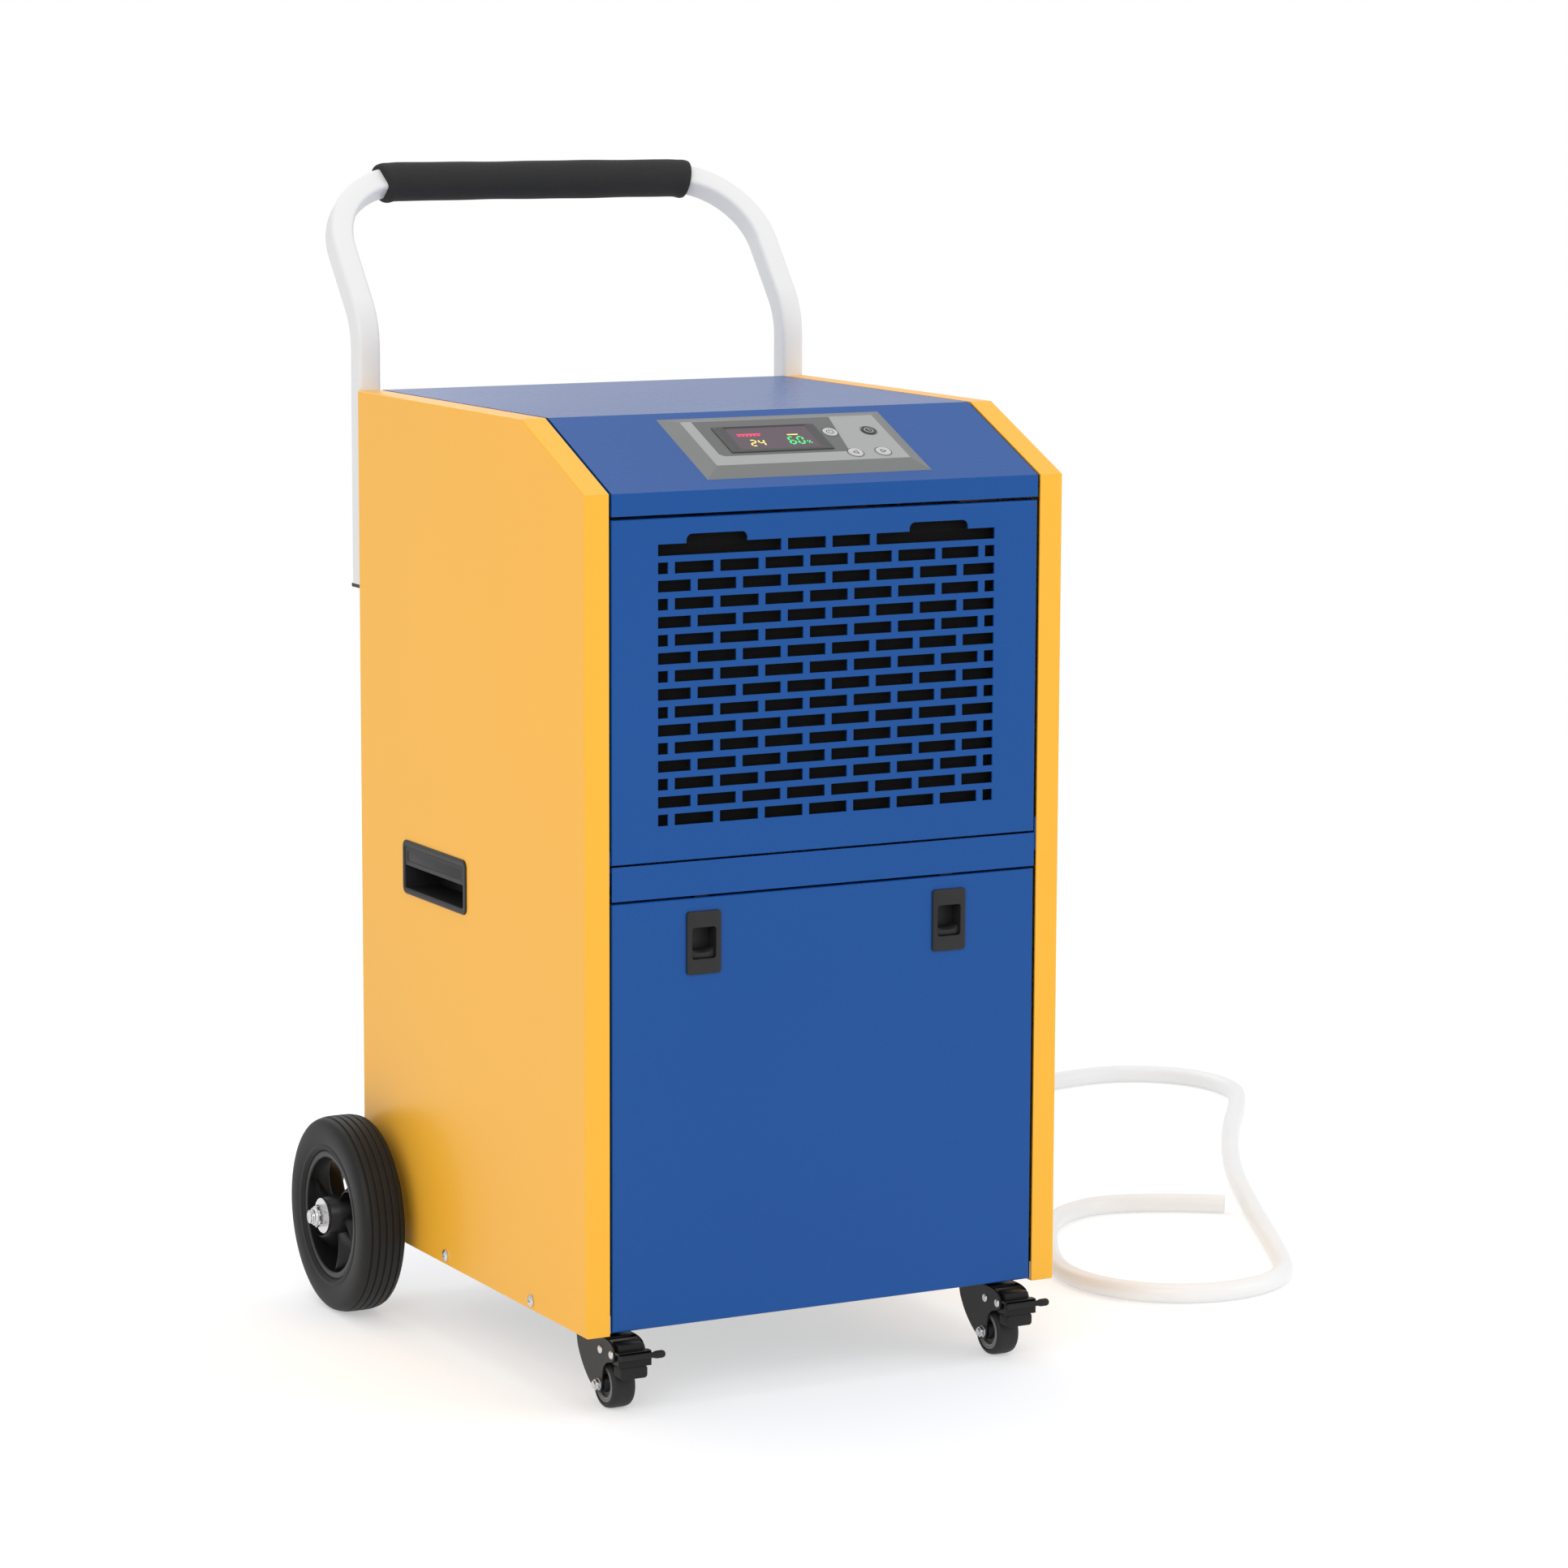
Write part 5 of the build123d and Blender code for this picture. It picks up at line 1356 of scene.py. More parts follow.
# ---- front door's latches -----------------------------------------------------------------------
@dataclass
class Latches:
    """The two latch plates on the door, with their sprung thumb sliders."""

    shop: Workshop
    x: float = 110.0
    z: float = 371.5
    width: float = 30.0
    height: float = 50.0
    window: tuple[float, float] = (21.0, 25.0)
    window_shift: float = -0.5
    depth: float = 11.2
    neck_front: float = 3.4
    edge: float = 2.2
    end: float = 3.2
    gap: float = 0.4
    drop_room: float = 6.5
    well_shift: float = 3.2

    def build(self) -> None:
        """Make the plates and the sliders."""
        plates: list[Solid] = []
        for side in Side:
            place = front_plane(side.value * self.x, self.z)
            outer = (self.width, self.height, 2.5)
            inner = (*self.window, 2.2)
            plates.append(ring_plate(place, outer, inner, (0.0, 2.0), 0.7, (0.0, self.window_shift)))
            box = (self.width - 2 * self.edge, self.height - 2 * self.end, 1.5)
            well = (self.window[0], self.window[1] + self.drop_room, 0.6)
            shift = (0.0, self.window_shift - self.well_shift)
            plates.append(ring_plate(place, box, well, (-self.neck_front, 0.1), 0.1, shift))
            plates += self.box_walls(side.value * self.x)
            self.slider(side)
        self.shop.piece("latch_plates", plates, BLACK_PLASTIC, "door", ["latch_housings"])

    def box_walls(self, x: float) -> list[Solid]:
        """The two side walls and the floor of a latch's box, open at the top for the slider's neck."""
        half_w, half_h = self.width / 2 - self.edge, self.height / 2 - self.end
        wall = half_w - self.window[0] / 2
        floor = self.window[1] / 2 - self.window_shift + self.drop_room
        place = front_plane(x, self.z)
        pieces = [rectangle(wall, 2 * half_h, 0.3) + (sign * (half_w - wall / 2), 0.0) for sign in (-1, 1)]
        pieces.append(rectangle(2 * half_w, half_h - floor, 0.3) + (0.0, -(half_h + floor) / 2))
        return [loft(place, [(piece, -self.depth), (piece, 0.3 - self.neck_front)]) for piece in pieces]

    def slider(self, side: Side) -> None:
        """Make one slider: a thumb pad with a hollowed top, its plate, its neck and its tongue.

        The pad's top edge falls towards its middle, and its front bows out but stays behind the plate.
        """
        x = side.value * self.x
        half = self.window[0] / 2 - 0.5
        across = np.linspace(-half, half, 25)
        low = self.z + self.window_shift - self.window[1] / 2
        hollow = 1.9 * (1 - (across / half) ** 2)
        bow = 1.1 * (1 - (across / half) ** 2)
        corners = (
            (low + 0 * across, self.depth + self.gap + 0 * across),
            (low + 0 * across, 1.6 - bow * 0.5), (low + 2.0 + 0 * across, 1.2 - bow * 0.8),
            (low + 5.2 - hollow * 0.4, 1.3 - bow * 0.6), (low + 7.0 - hollow, 2.2 - bow * 0.3),
            (low + 8.0 - hollow, 3.6 + 0 * across),
            (low + 8.0 - hollow, self.depth + self.gap + 0 * across),
        )
        rings = [np.stack([x + across, depth, z], axis=-1) for z, depth in corners]
        pad = shell(np.stack(rings, axis=1))
        rest = front_plane(x, 0.0)
        behind = Placement((x, self.depth + 2.2, low + 20.5), (1, 0, 0), (0, 0, 1))
        back = plate(behind, (23.0, 57.0), 2.0, (0.0, 1.8), 0.3)
        neck = rectangle(12.0, 9.3, 0.8) + (0.0, low + 40.3)
        tongue = rectangle(12.0, 9.0, 1.2) + (0.0, low + 45.2)
        solids = [pad, back]
        solids.append(loft(rest, [(neck, -12.9), (neck, -4.0)]))
        solids.append(loft(rest, [(tongue, -9.0), (tongue, -4.0)]))
        body = f"{side.word}_latch"
        self.shop.piece(f"{body}_thumb", solids, BLACK_PLASTIC, body, [f"{body}_slider"])


# ---- control unit -------------------------------------------------------------------------------
@dataclass
class ControlUnit:
    """Films, screen, readings, keys and printed marks on the sloped control face."""

    shop: Workshop
    slope_z: float = 725.0
    slope_rise: float = 50.0
    slope_run: float = 112.5
    crown: float = 4.5
    face_size: tuple[float, float] = (172.0, 70.6)
    face_v: float = 64.2
    screen: tuple[float, float] = (-18.5, 67.5)
    screen_size: tuple[float, float] = (91.0, 41.0)
    glow: tuple[float, float] = (-17.0, 69.3)
    glow_size: tuple[float, float] = (71.0, 34.6)
    key_radius: float = 6.2
    keys: tuple[tuple[str, str, float, float], ...] = (
        ("power", "light", 36.0, 74.2),
        ("timer", "dark", 71.0, 74.2),
        ("down", "light", 42.2, 40.0),
        ("up", "light", 67.1, 40.0),
    )

    @property
    def place(self) -> Placement:
        """The sloped face's plane, with u to the right and v up the slope."""
        long = math.hypot(self.slope_rise, self.slope_run)
        return Placement((0, 0, self.slope_z), (1, 0, 0), (0, self.slope_run / long, self.slope_rise / long))

    def build(self) -> None:
        """Make every part of the control face."""
        self.films()
        self.screen_parts()
        self.readings()
        for name, tone, u, v in self.keys:
            self.key(name, tone, u, v)
        self.marks()

    def films(self) -> None:
        """Lay the light film over the face, and the darker film round the screen with its slanted end."""
        low = self.crown
        outline = np.array([(-76.0, 99.0), (-76.0, 46.5), (-72.5, 43.0), (38.2, 43.0), (46.8, 99.0)])
        dark = self.film(outline, low + 0.02, low + 0.14)
        self.shop.piece("dark_face_film", [dark], ZONE, "cabinet")
        face = rectangle(*self.face_size, 1.2) + (0.0, self.face_v)
        light = self.film(face, low - 0.3, low + 0.05)
        self.shop.piece("light_face_film", [light], FACE, "cabinet")

    def film(self, outline: np.ndarray, low: float, high: float) -> Solid:
        """A thin film of an outline. The keys and the screen stand higher and hide what is under them."""
        return loft(self.place, [(outline, low), (outline, high)])

    def screen_parts(self) -> None:
        """Make the dark surround with sloping sides and the lit ground behind the window."""
        place = self.place
        u, v = self.screen
        gu, gv = self.glow
        shift = (gu - u, gv - v)
        outer, inner = self.screen_size, self.glow_size
        base = Placement(tuple(place.at(np.array([[u, v]]))[0]), place.u, place.v)
        loops = [
            (rectangle(*outer, 1.0), self.crown - 0.5),
            (rectangle(*outer, 1.0), self.crown + 0.75),
            (rectangle(outer[0] - 1.2, outer[1] - 1.2, 0.8), self.crown + 1.0),
            (rectangle(inner[0] + 6, inner[1] + 1.6, 0.8) + shift, self.crown + 1.0),
            (rectangle(*inner, 0.6) + shift, self.crown + 0.25),
            (rectangle(*inner, 0.6) + shift, self.crown - 0.5),
        ]
        self.shop.piece("screen_surround_frame", [loft(base, loops, joined=True)], FRAME, "cabinet")
        ground = rectangle(inner[0] + 0.2, inner[1] + 0.2, 0.6) + self.glow
        lit = loft(place, [(ground, self.crown), (ground, self.crown + 0.2)])
        self.shop.piece("screen_ground", [lit], LIT_GROUND, "cabinet")

    def digit(self, value: int, u: float, v: float, height: float, width: float) -> list[Solid]:
        """The lit bars of one seven-bar digit whose lower left corner is at (u, v)."""
        lit = {0: "abcdef", 2: "abged", 4: "fgbc", 5: "afgcd", 6: "afgedc", 7: "abc", 8: "abcdefg"}[value]
        half = height / 2
        lean = 0.12
        corners = {
            "a": ((0, height), (width, height)),
            "b": ((width, half), (width, height)),
            "c": ((width, 0), (width, half)),
            "d": ((0, 0), (width, 0)),
            "e": ((0, 0), (0, half)),
            "f": ((0, half), (0, height)),
            "g": ((0, half), (width, half)),
        }
        stroke = height * 0.13
        level = (self.crown + 0.18, self.crown + 0.3)
        bars = []
        for name in lit:
            start, end = (np.array(c, float) for c in corners[name])
            gap = (end - start) / np.linalg.norm(end - start) * stroke * 0.6
            ends = [(u + p[0] + lean * p[1], v + p[1]) for p in (start + gap, end - gap)]
            bars.append(bar(self.place, ends[0], ends[1], stroke, level))
        return bars

    def readings(self) -> None:
        """Light the red bar, the yellow number, the short yellow bar and the green number with its sign."""
        place = self.place
        level = (self.crown + 0.18, self.crown + 0.3)
        red = [bar(place, (-47.0, 75.6), (-26.0, 75.6), 1.3, level)]
        red += [bar(place, (-46.6 + 3.4 * i, 73.3), (-44.4 + 3.4 * i, 73.3), 1.5, level) for i in range(6)]
        self.shop.piece("reading_bar_red", red, LIT_RED, "cabinet")
        yellow = self.digit(2, -41.0, 57.0, 9.0, 4.4) + self.digit(4, -33.6, 57.0, 9.0, 4.4)
        yellow.append(bar(place, (-3.4, 72.6), (6.0, 72.6), 1.3, level))
        self.shop.piece("reading_yellow", yellow, LIT_YELLOW, "cabinet")
        green = self.digit(6, -6.2, 57.8, 11.0, 4.6) + self.digit(0, 1.6, 57.8, 11.0, 4.6)
        green.append(bar(place, (9.6, 58.0), (12.4, 62.4), 0.7, level))
        for u, v in ((9.8, 61.6), (12.2, 58.8)):
            dot = circle(0.75, 16) + (u, v)
            green.append(loft(place, [(dot, level[0]), (dot, level[1])]))
        self.shop.piece("reading_green", green, LIT_GREEN, "cabinet")

    def key(self, name: str, tone: str, u: float, v: float) -> None:
        """Make one round key: a dished cap on its stem.

        The cap's top follows a shallow circle's arc from its raised rim to its middle.
        """
        place = self.place
        finish = KEY if tone == "light" else DARK_KEY
        share = np.linspace(0.86, 0.05, 8)
        top = self.crown + 0.8 - 0.35 * (1 - share**2)
        r = self.key_radius
        loops = [
            (circle(r) + (u, v), 0.6),
            (circle(r) + (u, v), self.crown + 0.35),
            (circle(r * 0.96) + (u, v), self.crown + 0.7),
        ]
        loops += [(circle(r * 0.91) + (u, v), self.crown + 0.8)]
        loops += [(circle(r * s) + (u, v), h) for s, h in zip(share, top)]
        stem = [(circle(1.8) + (u, v), -9.5), (circle(1.8) + (u, v), 0.8)]
        solids = [loft(place, loops), loft(place, stem)]
        self.shop.piece(f"{name}_key_cap", solids, finish, f"{name}_key", [f"{name}_button"], 40.0)
        self.symbol(name, u, v)

    def symbol(self, name: str, u: float, v: float) -> None:
        """Print a key's sign on its cap."""
        place = self.place
        level = (self.crown + 0.4, self.crown + 0.66)
        if name == "power":
            marks = [
                arc_mark(place, (u, v), 2.9, (120, 420), 0.6, level),
                bar(place, (u, v + 0.6), (u, v + 3.7), 0.6, level),
            ]
        elif name == "timer":
            marks = [
                arc_mark(place, (u, v), 3.6, (0, 359), 0.55, level),
                bar(place, (u, v), (u, v + 2.6), 0.5, level),
            ]
            marks.append(bar(place, (u, v), (u + 1.8, v - 0.8), 0.5, level))
        else:
            lean = -1.0 if name == "down" else 1.0
            corners = [(u - 1.9 * lean, v + 2.5), (u - 1.9 * lean, v - 2.5), (u + 2.5 * lean, v)]
            marks = [bar(place, a, b, 0.5, level) for a, b in zip(corners, corners[1:] + corners[:1])]
        self.shop.piece(f"{name}_key_sign", marks, KEY if name == "timer" else INK, f"{name}_key")

    def marks(self) -> None:
        """Print a thin ring round each key."""
        place = self.place
        level = (self.crown + 0.04, self.crown + 0.16)
        round_key = self.key_radius + 0.75
        rings = [arc_mark(place, (u, v), round_key, (0, 360), 0.55, level) for _, _, u, v in self.keys]
        self.shop.piece("key_rings", rings, INK, "cabinet")


# ---- rear wheels --------------------------------------------------------------------------------
@dataclass
class RearWheels:
    """Tyres, spoked hubs and the threaded axle with its washers and locking nuts."""

    shop: Workshop
    axle_depth: float = 403.0
    axle_z: float = 83.0
    radius: float = 83.0
    middle_x: float = 241.0
    half: float = 20.0
    boss_radius: float = 17.0
    boss: tuple[float, float] = (214.4, 262.0)
    axle_radius: float = 6.0
    axle_end: float = 276.3
    nut: tuple[float, float] = (264.8, 272.8)
    flats: float = 17.0
    washer: float = 15.0
    grooves: tuple[float, ...] = (-12.4, -6.2, 0.0, 6.2, 12.4)

    @property
    def centre(self) -> tuple[float, float, float]:
        """The axle's middle."""
        return (0.0, self.axle_depth, self.axle_z)

    def build(self) -> None:
        """Make both wheels and the axle's parts."""
        for side in Side:
            self.tyre(side)
            self.hub(side)
            self.fasteners(side)
        self.axle()

    def tyre(self, side: Side) -> None:
        """Make a tyre: a crowned tread with round grooves, bulged walls and a ridge beside the rim.

        The tread's radius falls with the fourth power of the distance from its middle, less a smooth
        pulse at each groove. The walls follow a few points rounded by a cosine.
        """
        across = np.linspace(-16.6, 16.6, 133)
        crown = self.radius - 2.6 * (across / 17.0) ** 4
        pulses = np.exp(-(((across[:, None] - np.array(self.grooves)) / 0.75) ** 4)).sum(axis=1)
        tread = np.stack([across, crown - 1.5 * pulses], axis=-1)
        wall = np.array(
            [
                (17.9, 79.3), (18.9, 77.4), (19.6, 75.0), (19.95, 72.0), (20.0, 69.0), (19.8, 66.0),
                (19.3, 63.0), (18.7, 60.8), (18.5, 59.9), (18.9, 59.2), (19.1, 58.2), (18.8, 57.1),
                (17.9, 56.2), (16.9, 55.4), (16.2, 54.6), (15.4, 54.5),
            ]
        )
        inner = wall[::-1] * (-1, 1)
        profile = np.concatenate([tread, wall, inner])
        profile[:, 0] = profile[:, 0] + self.middle_x
        solid = turned(profile, self.centre, count=120).mirrored(side.value)
        body = f"{side.word}_wheel"
        self.shop.piece(f"{body}_tyre", [solid], TYRE, body, [f"{side.word}_tyre"], 60.0)

    def hub(self, side: Side) -> None:
        """Make a hub: a barrel rim, a stepped boss and six twisted blades."""
        rim = np.array(
            [
                (-15.8, 54.4), (-16.4, 53.6), (-16.4, 49.6), (-15.6, 48.8), (-8.0, 48.5),
                (8.0, 48.5), (15.6, 48.8), (16.4, 49.6), (16.6, 52.0), (16.4, 53.6), (15.8, 54.4),
            ]
        )
        rim[:, 0] += self.middle_x
        low, high = self.boss
        boss = np.array(
            [
                (low, 6.2), (low, 15.0), (low + 2.0, self.boss_radius),
                (high - 9.0, self.boss_radius), (high - 7.5, 16.0), (high - 0.8, 15.4),
                (high, 14.6), (high, 6.2),
            ]
        )
        solids = [turned(rim, self.centre, count=96), turned(boss, self.centre, count=48)]
        solids += [self.blade(i * math.tau / 6) for i in range(6)]
        solids = [solid.mirrored(side.value) for solid in solids]
        body = f"{side.word}_wheel"
        self.shop.piece(f"{body}_hub", solids, HUB_PLASTIC, body, [f"{side.word}_hub"], 40.0)

    def blade(self, heading: float) -> Solid:
        """One spoke blade.

        The section is an ellipse whose length grows outwards while its slope to the wheel's plane
        falls, so that the blade is edge-on at the boss and broad at the rim.

        Args:
            heading: Angle of the blade round the axle.

        Returns:
            The blade.
        """
        share = np.linspace(0, 1, 24)[:, None]
        turn = (np.arange(28) * math.tau / 28)[None, :]
        reach = 15.5 + (49.5 - 15.5) * share
        chord = 15.0 + 13.0 * share**1.4
        slope = np.radians(78.0 - 44.0 * share)
        thick = 3.4 - 1.0 * share
        tangent = chord / 2 * np.cos(turn) * np.cos(slope) - thick / 2 * np.sin(turn) * np.sin(slope)
        axial = chord / 2 * np.cos(turn) * np.sin(slope) + thick / 2 * np.sin(turn) * np.cos(slope)
        angle = heading + 0.30 * share**2 + tangent / reach
        grid = np.stack(
            [
                self.middle_x + 4.5 + axial,
                self.axle_depth + reach * np.cos(angle),
                self.axle_z + reach * np.sin(angle),
            ],
            axis=-1,
        )
        return shell(grid)

    def fasteners(self, side: Side) -> None:
        """Make the washers and the locking nut: a chamfered hexagon under a rounded collar."""
        place = side.plane(0.0, self.axle_depth, self.axle_z)
        low, high = self.nut
        hex_top = low + 5.6
        hole = circle(self.axle_radius + 0.1, 72)
        loops = [
            (hole, low),
            (hexagon(self.flats, 8.9), low),
            (hexagon(self.flats, 9.8), low + 0.7),
            (hexagon(self.flats, 9.8), hex_top - 0.7),
            (hexagon(self.flats, 8.7), hex_top),
            (circle(7.9, 72), hex_top + 0.2),
            (circle(7.8, 72), high - 1.2),
            (circle(7.3, 72), high - 0.35),
            (circle(6.8, 72), high),
            (hole, high),
        ]
        nut = loft(place, loops, joined=True)
        discs = []
        for start, end in ((212.0, 214.0), (262.4, 264.8)):
            profile = np.array(
                [
                    (start, self.axle_radius + 0.1), (start, self.washer - 0.3),
                    (start + 0.3, self.washer), (end - 0.3, self.washer), (end, self.washer - 0.3),
                    (end, self.axle_radius + 0.1),
                ]
            )
            discs.append(turned(profile, self.centre, count=64).mirrored(side.value))
        self.shop.piece(f"{side.word}_axle_nut", [nut], ZINC, "cabinet", ["axle_fasteners"])
        self.shop.piece(f"{side.word}_axle_washers", discs, ZINC, "cabinet", ["axle_fasteners"])

    def axle(self) -> None:
        """Make the axle: a rod whose ends carry a thread.

        The thread's depth is a triangle wave of the distance along the rod in pitches plus the turn.
        """
        pitch, depth, threaded = 1.75, 0.75, 17.0
        end = self.axle_end
        fine = np.arange(0, threaded, 0.25)
        plain = np.linspace(-end + threaded, end - threaded, 12)
        along = np.concatenate([-end + fine, plain, np.sort(end - fine)])
        turn = np.arange(32) * math.tau / 32
        phase = (np.abs(along)[:, None] / pitch + turn[None, :] / math.tau) % 1.0
        wave = np.abs(2 * phase - 1)
        inside = np.clip(np.abs(along) - (end - threaded), 0, 1)[:, None]
        chamfer = np.clip(1.0 - (end - np.abs(along)), 0, 1)[:, None]
        radius = self.axle_radius - depth * wave * inside - chamfer * 0.8
        grid = np.stack(
            [
                np.broadcast_to(along[:, None], radius.shape),
                self.axle_depth + radius * np.cos(turn),
                self.axle_z + radius * np.sin(turn),
            ],
            axis=-1,
        )
        self.shop.piece("threaded_axle", [shell(grid)], ZINC, "cabinet", ["rear_axle"])


# ---- casters ------------------------------------------------------------------------------------
@dataclass
class Casters:
    """The two front casters: stamped fork, wheel, pins and brake."""

    shop: Workshop
    x: float = 175.0
    kingpin_depth: float = 46.0
    axle_depth: float = 26.0
    radius: float = 20.0
    half: float = 10.0
    cheek: tuple[float, float] = (12.3, 13.9)
    fork_top: float = 60.0
    pivot: tuple[float, float] = (3.5, 49.0)
    rivets: tuple[float, float] = (3.5, 23.0)

    def build(self) -> None:
        """Make both casters."""
        for side in Side:
            self.fork(side)
            self.wheel(side)
            self.pins(side)
            self.brake(side)

    def middle(self, side: Side) -> float:
        """The caster's middle along X."""
        return side.value * self.x

    def box(
        self,
        side: Side,
        x: tuple[float, float],
        depth: tuple[float, float],
        z: tuple[float, float],
        edge: float,
        corner: float = 0.8,
    ) -> Solid:
        """A rounded block given by its limits from the caster's middle, in depth and in height."""
        centre = (self.middle(side) + sum(x) / 2, sum(depth) / 2, z[0])
        place = Placement(centre, (1, 0, 0), (0, 1, 0))
        return plate(place, (x[1] - x[0], depth[1] - depth[0]), corner, (0.0, z[1] - z[0]), edge)

    def fork(self, side: Side) -> None:
        """Make the fork: two cheeks of one stamped outline, the bridge over them and the ball race."""
        king, axle = self.kingpin_depth, self.axle_depth
        y, top = self.pivot[0], self.fork_top
        outline = np.array(
            [
                (king + 20, top), (king + 20, 48), (king + 15, 37), (king + 4, 24), (axle + 9, 14),
                (axle, 12), (axle - 6, 16), (axle - 6, 30), (axle - 11, 41), (y - 4, 43),
                (y - 6, 49), (y - 4, 55), (y + 4, top),
            ]
        )
        outline = softened(outline, 5.0)
        solids = []
        for sign in (-1, 1):
            low, high = sorted((sign * self.cheek[0], sign * self.cheek[1]))
            place = Placement((self.middle(side), 0.0, 0.0), (0, 1, 0), (0, 0, 1))
            solids.append(slab(place, outline, low, high, 0.35))
        solids.append(self.box(side, (-12.6, 12.6), (16.0, king + 20), (top - 2.5, top), 0.5, 2.0))
        race = np.array(
            [
                (60.0, 4.1), (60.0, 15.0), (60.6, 15.0), (61.6, 14.2), (62.6, 14.6), (63.6, 15.0),
                (64.1, 14.6), (64.1, 4.1),
            ]
        )
        solids.append(turned(race, (self.middle(side), king, 0.0), 2, 48))
        name = f"{side.word}_caster"
        self.shop.piece(f"{name}_stamping", solids, BLACK_PAINT, name, [f"{name}_fork"])

    def wheel(self, side: Side) -> None:
        """Make the wheel: a crowned tread, a core with two raised rings, and a centre disc of dark plastic
        that paints the shade in the wheel's recess.
        """
        centre = (self.middle(side), self.axle_depth, self.radius)
        across = np.linspace(-8.6, 8.6, 41)
        crown = self.radius - 0.9 * (across / 8.6) ** 4 - 0.12 * np.exp(-((across / 0.5) ** 2))
        wall = np.array([(9.4, 18.3), (9.9, 17.2), (10.0, 16.3), (9.6, 15.6), (8.4, 15.3), (8.0, 14.4)])
        tread = np.concatenate([np.stack([across, crown], axis=-1), wall, wall[::-1] * (-1, 1)])
        rings = [
            (8.6, 15.2), (9.3, 15.0), (9.3, 14.0), (8.5, 13.7), (8.5, 13.1), (9.1, 12.8),
            (9.1, 11.6), (8.2, 11.2), (7.2, 11.0),
        ]
        half_core = np.array(rings)
        core = np.concatenate([half_core, half_core[::-1] * (-1, 1)])
        # Painted shade: the centre disc is dark plastic standing in for the shade that falls in the wheel's
        # recess.
        shaded_recess_disc = np.array([(7.4, 11.2), (7.4, 7.4), (8.4, 7.0), (11.4, 6.2), (11.4, 3.1)])
        shaded_recess_disc = np.concatenate([shaded_recess_disc, shaded_recess_disc[::-1] * (-1, 1)])
        name, body = f"{side.word}_caster", f"{side.word}_roller"
        rubber = turned(tread, centre, count=72)
        self.shop.piece(f"{name}_tread", [rubber], TREAD, body, [f"{name}_wheel"], 45.0)
        self.shop.piece(f"{name}_core", [turned(core, centre, count=72)], CORE, body, (), 30.0)
        self.shop.piece(f"{name}_bearing", [turned(shaded_recess_disc, centre, count=48)], HUB_PLASTIC, body, (), 30.0)

    def pins(self, side: Side) -> None:
        """Make the axle bolt with its head, washer and nut, and the domed rivets."""
        x, outer = self.middle(side), self.cheek[1]
        place = Placement((x, self.axle_depth, self.radius), (0, 1, 0), (0, 0, 1))
        left = Placement((x, self.axle_depth, self.radius), (0, -1, 0), (0, 0, 1))
        solids = [loft(place, [(circle(3.0), -outer - 4.9), (circle(3.0), outer + 1.0)])]
        solids.append(loft(left, [(circle(3.0), outer + 4.5), (circle(2.4), outer + 5.0)]))
        washer = [(circle(4.8), outer), (circle(4.8), outer + 0.5), (circle(4.6), outer + 0.7)]
        solids.append(loft(left, washer))
        nut = [
            (hexagon(8.0, 4.2), 0.7), (hexagon(8.0, 4.6), 1.0), (hexagon(8.0, 4.6), 2.9),
            (hexagon(8.0, 4.1), 3.3),
        ]
        nut += [(circle(3.7, 72), 3.4), (circle(3.4, 72), 3.6)]
        solids.append(loft(left, [(loop, outer + rise) for loop, rise in nut]))
        share = np.linspace(0, 1, 7)
        dome = [
            (circle(4.8 * math.cos(math.pi / 2.3 * s)), outer + 3.0 * math.sin(math.pi / 2 * s))
            for s in share
        ]
        solids.append(loft(place, [(circle(4.8), outer - 0.1), *dome]))
        for depth in self.rivets:
            for direction in (-1, 1):
                base = Placement((x, depth, self.pivot[1]), (0, direction, 0), (0, 0, 1))
                cap = [
                    (circle(3.5 * math.cos(math.pi / 2.3 * s)), outer + 1.4 * math.sin(math.pi / 2 * s))
                    for s in share
                ]
                solids.append(loft(base, [(circle(3.5), outer - 0.1), *cap]))
            line = Placement((x, depth, self.pivot[1]), (0, 1, 0), (0, 0, 1))
            solids.append(loft(line, [(circle(2.2), -outer), (circle(2.2), outer)]))
        name = f"{side.word}_caster"
        self.shop.piece(f"{name}_bolts", solids, ZINC, name, [f"{name}_pins"])

    def brake(self, side: Side) -> None:
        """Make the brake: a stepped pedal with turned-down lips, side arms, the shoe and the side lever."""
        y, z = self.pivot
        solids = [
            self.box(side, (-10.5, 10.5), (y - 8.2, y + 5.5), (z + 7.3, z + 9.0), 0.6, 1.6),
            self.box(side, (-10.5, 10.5), (y - 9.0, y - 7.3), (z + 2.6, z + 8.6), 0.5, 0.5),
            self.box(side, (-14.5, 14.5), (y - 14.5, y - 7.9), (z + 2.3, z + 4.1), 0.6, 1.2),
            self.box(side, (-14.5, 14.5), (y - 14.5, y - 12.9), (z - 8.0, z + 3.8), 0.4, 0.5),
        ]
        for sign in (-1, 1):
            edges = sorted((sign * 9.0, sign * 10.5))
            depths, heights = (y - 8.0, y + 5.5), (z - 9.0, z + 8.0)
            solids.append(self.box(side, (edges[0], edges[1]), depths, heights, 0.4, 0.5))
        name = f"{side.word}_brake"
        self.shop.piece(f"{name}_plate", solids, BLACK_PAINT, name, [f"{name}_pedal"])
        x = self.middle(side)
        front = Placement((x, y - 13.5, z - 13.0), (1, 0, 0), (0, 0, 1))
        shoe = plate(front, (23.0, 10.0), 2.6, (-13.0, 0.0), 0.8)
        centre = (x, y - 16.7, z + 0.5)
        rod = np.array(
            [
                (-14.0, 2.0), (-13.7, 2.3), (14.6, 2.3), (16.4, 2.9), (18.0, 3.1), (22.4, 3.1),
                (24.0, 2.5), (24.8, 1.4), (25.0, 0.3),
            ]
        )
        lever = turned(rod, centre, 0, 32, solid=True)
        self.shop.piece(f"{name}_shoe", [shoe, lever], RUBBER, name)


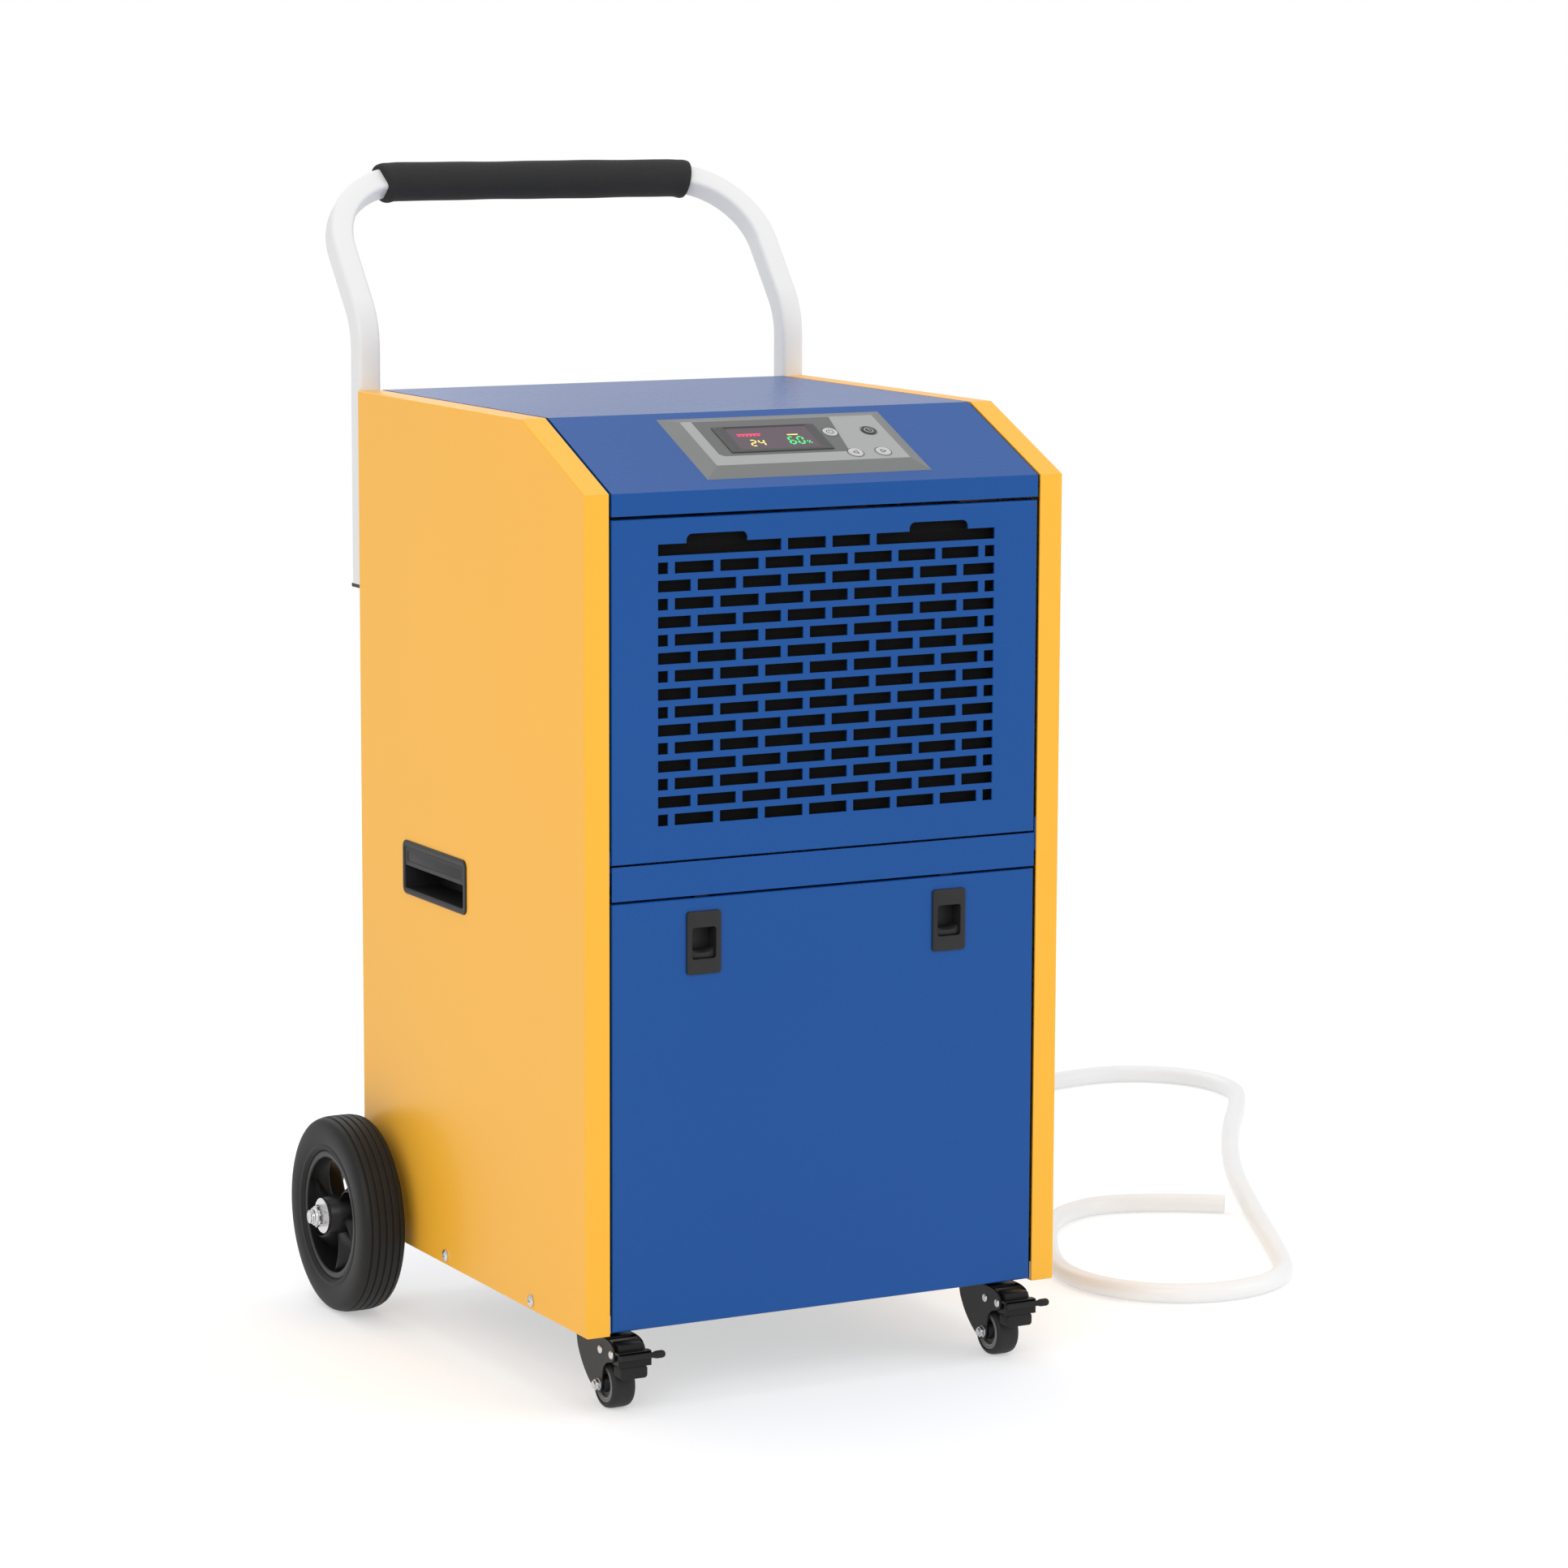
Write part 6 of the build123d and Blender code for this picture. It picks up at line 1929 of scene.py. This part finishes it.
# ---- back of the machine ------------------------------------------------------------------------
@dataclass
class RearFittings:
    """The drain spout and the cord's gland."""

    shop: Workshop
    depth: float = 434.0
    spout: tuple[float, float] = (130.0, 100.0)
    gland: tuple[float, float] = (-130.0, 130.0)

    def build(self) -> None:
        """Make the spout and the gland."""
        x, z = self.spout
        d = self.depth
        spout = np.array(
            [
                (d - 3.4, 4.0), (d - 3.4, 6.0), (d, 6.0), (d, 12.0), (d + 2.2, 12.0),
                (d + 3.0, 11.2), (d + 3.0, 6.0), (d + 15.9, 6.0), (d + 15.9, 4.0),
            ]
        )
        nozzle = turned(spout, (x, 0.0, z), 1, 48)
        self.shop.piece("drain_nozzle", [nozzle], WHITE_PLASTIC, "cabinet", ["drain_spout"])
        x, z = self.gland
        gland = np.array(
            [
                (d - 3.4, 4.0), (d - 3.4, 9.0), (d, 9.0), (d, 13.0), (d + 4.2, 13.0),
                (d + 5.0, 12.2), (d + 5.6, 9.4), (d + 12.6, 8.6), (d + 14.0, 7.4),
                (d + 14.0, 4.0),
            ]
        )
        ring = turned(gland, (x, 0.0, z), 1, 48)
        self.shop.piece("cord_gland_ring", [ring], BLACK_PLASTIC, "cabinet", ["cord_gland"])


# ---- inside -------------------------------------------------------------------------------------
@dataclass
class AirPath:
    """The fan's impeller with pitched blades."""

    shop: Workshop
    depth: float = 172.0
    z: float = 575.0
    hub: float = 34.0
    radius: float = 118.0
    blades: int = 5

    def build(self) -> None:
        """Make the impeller: a domed hub and twisted blades."""
        profile = np.array(
            [
                (-12.0, 4.1), (-12.0, 26.0), (-10.5, 31.0), (-7.0, self.hub), (12.0, self.hub),
                (12.0, 4.1),
            ]
        )
        solids = [turned(profile, (0.0, self.depth, self.z), 1, 64)]
        solids += [self.blade(i * math.tau / self.blades) for i in range(self.blades)]
        self.shop.piece("fan_rotor", solids, BLACK_PLASTIC, "fan", ["fan_impeller"], 40.0)

    def blade(self, heading: float) -> Solid:
        """One blade: a flat ellipse section that widens and flattens towards its tip."""
        share = np.linspace(0, 1, 26)[:, None]
        turn = (np.arange(32) * math.tau / 32)[None, :]
        reach = self.hub - 3.0 + (self.radius - self.hub + 2.6) * share
        chord = 38.0 + 34.0 * share
        slope = np.radians(34.0 - 18.0 * share)
        flat = chord / 2 * np.cos(turn)
        tangent = flat * np.cos(slope) - 1.1 * np.sin(turn) * np.sin(slope)
        axial = flat * np.sin(slope) + 1.1 * np.sin(turn) * np.cos(slope)
        angle = heading + 0.35 * share + tangent / reach
        grid = np.stack([reach * np.cos(angle), self.depth + axial, self.z + reach * np.sin(angle)], axis=-1)
        return shell(grid)


def main() -> None:
    """Build the studio and every sub-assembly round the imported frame."""
    logging.basicConfig(level=logging.INFO, format="%(message)s")
    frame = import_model()
    Studio().build()
    shop = Workshop(frame)
    DrainHose(shop).build()
    shop.dress_nodes()
    Cabinet(shop).build()
    Handle(shop).build()
    Latches(shop).build()
    ControlUnit(shop).build()
    RearWheels(shop).build()
    Casters(shop).build()
    RearFittings(shop).build()
    AirPath(shop).build()


if __name__ == "__main__":
    main()
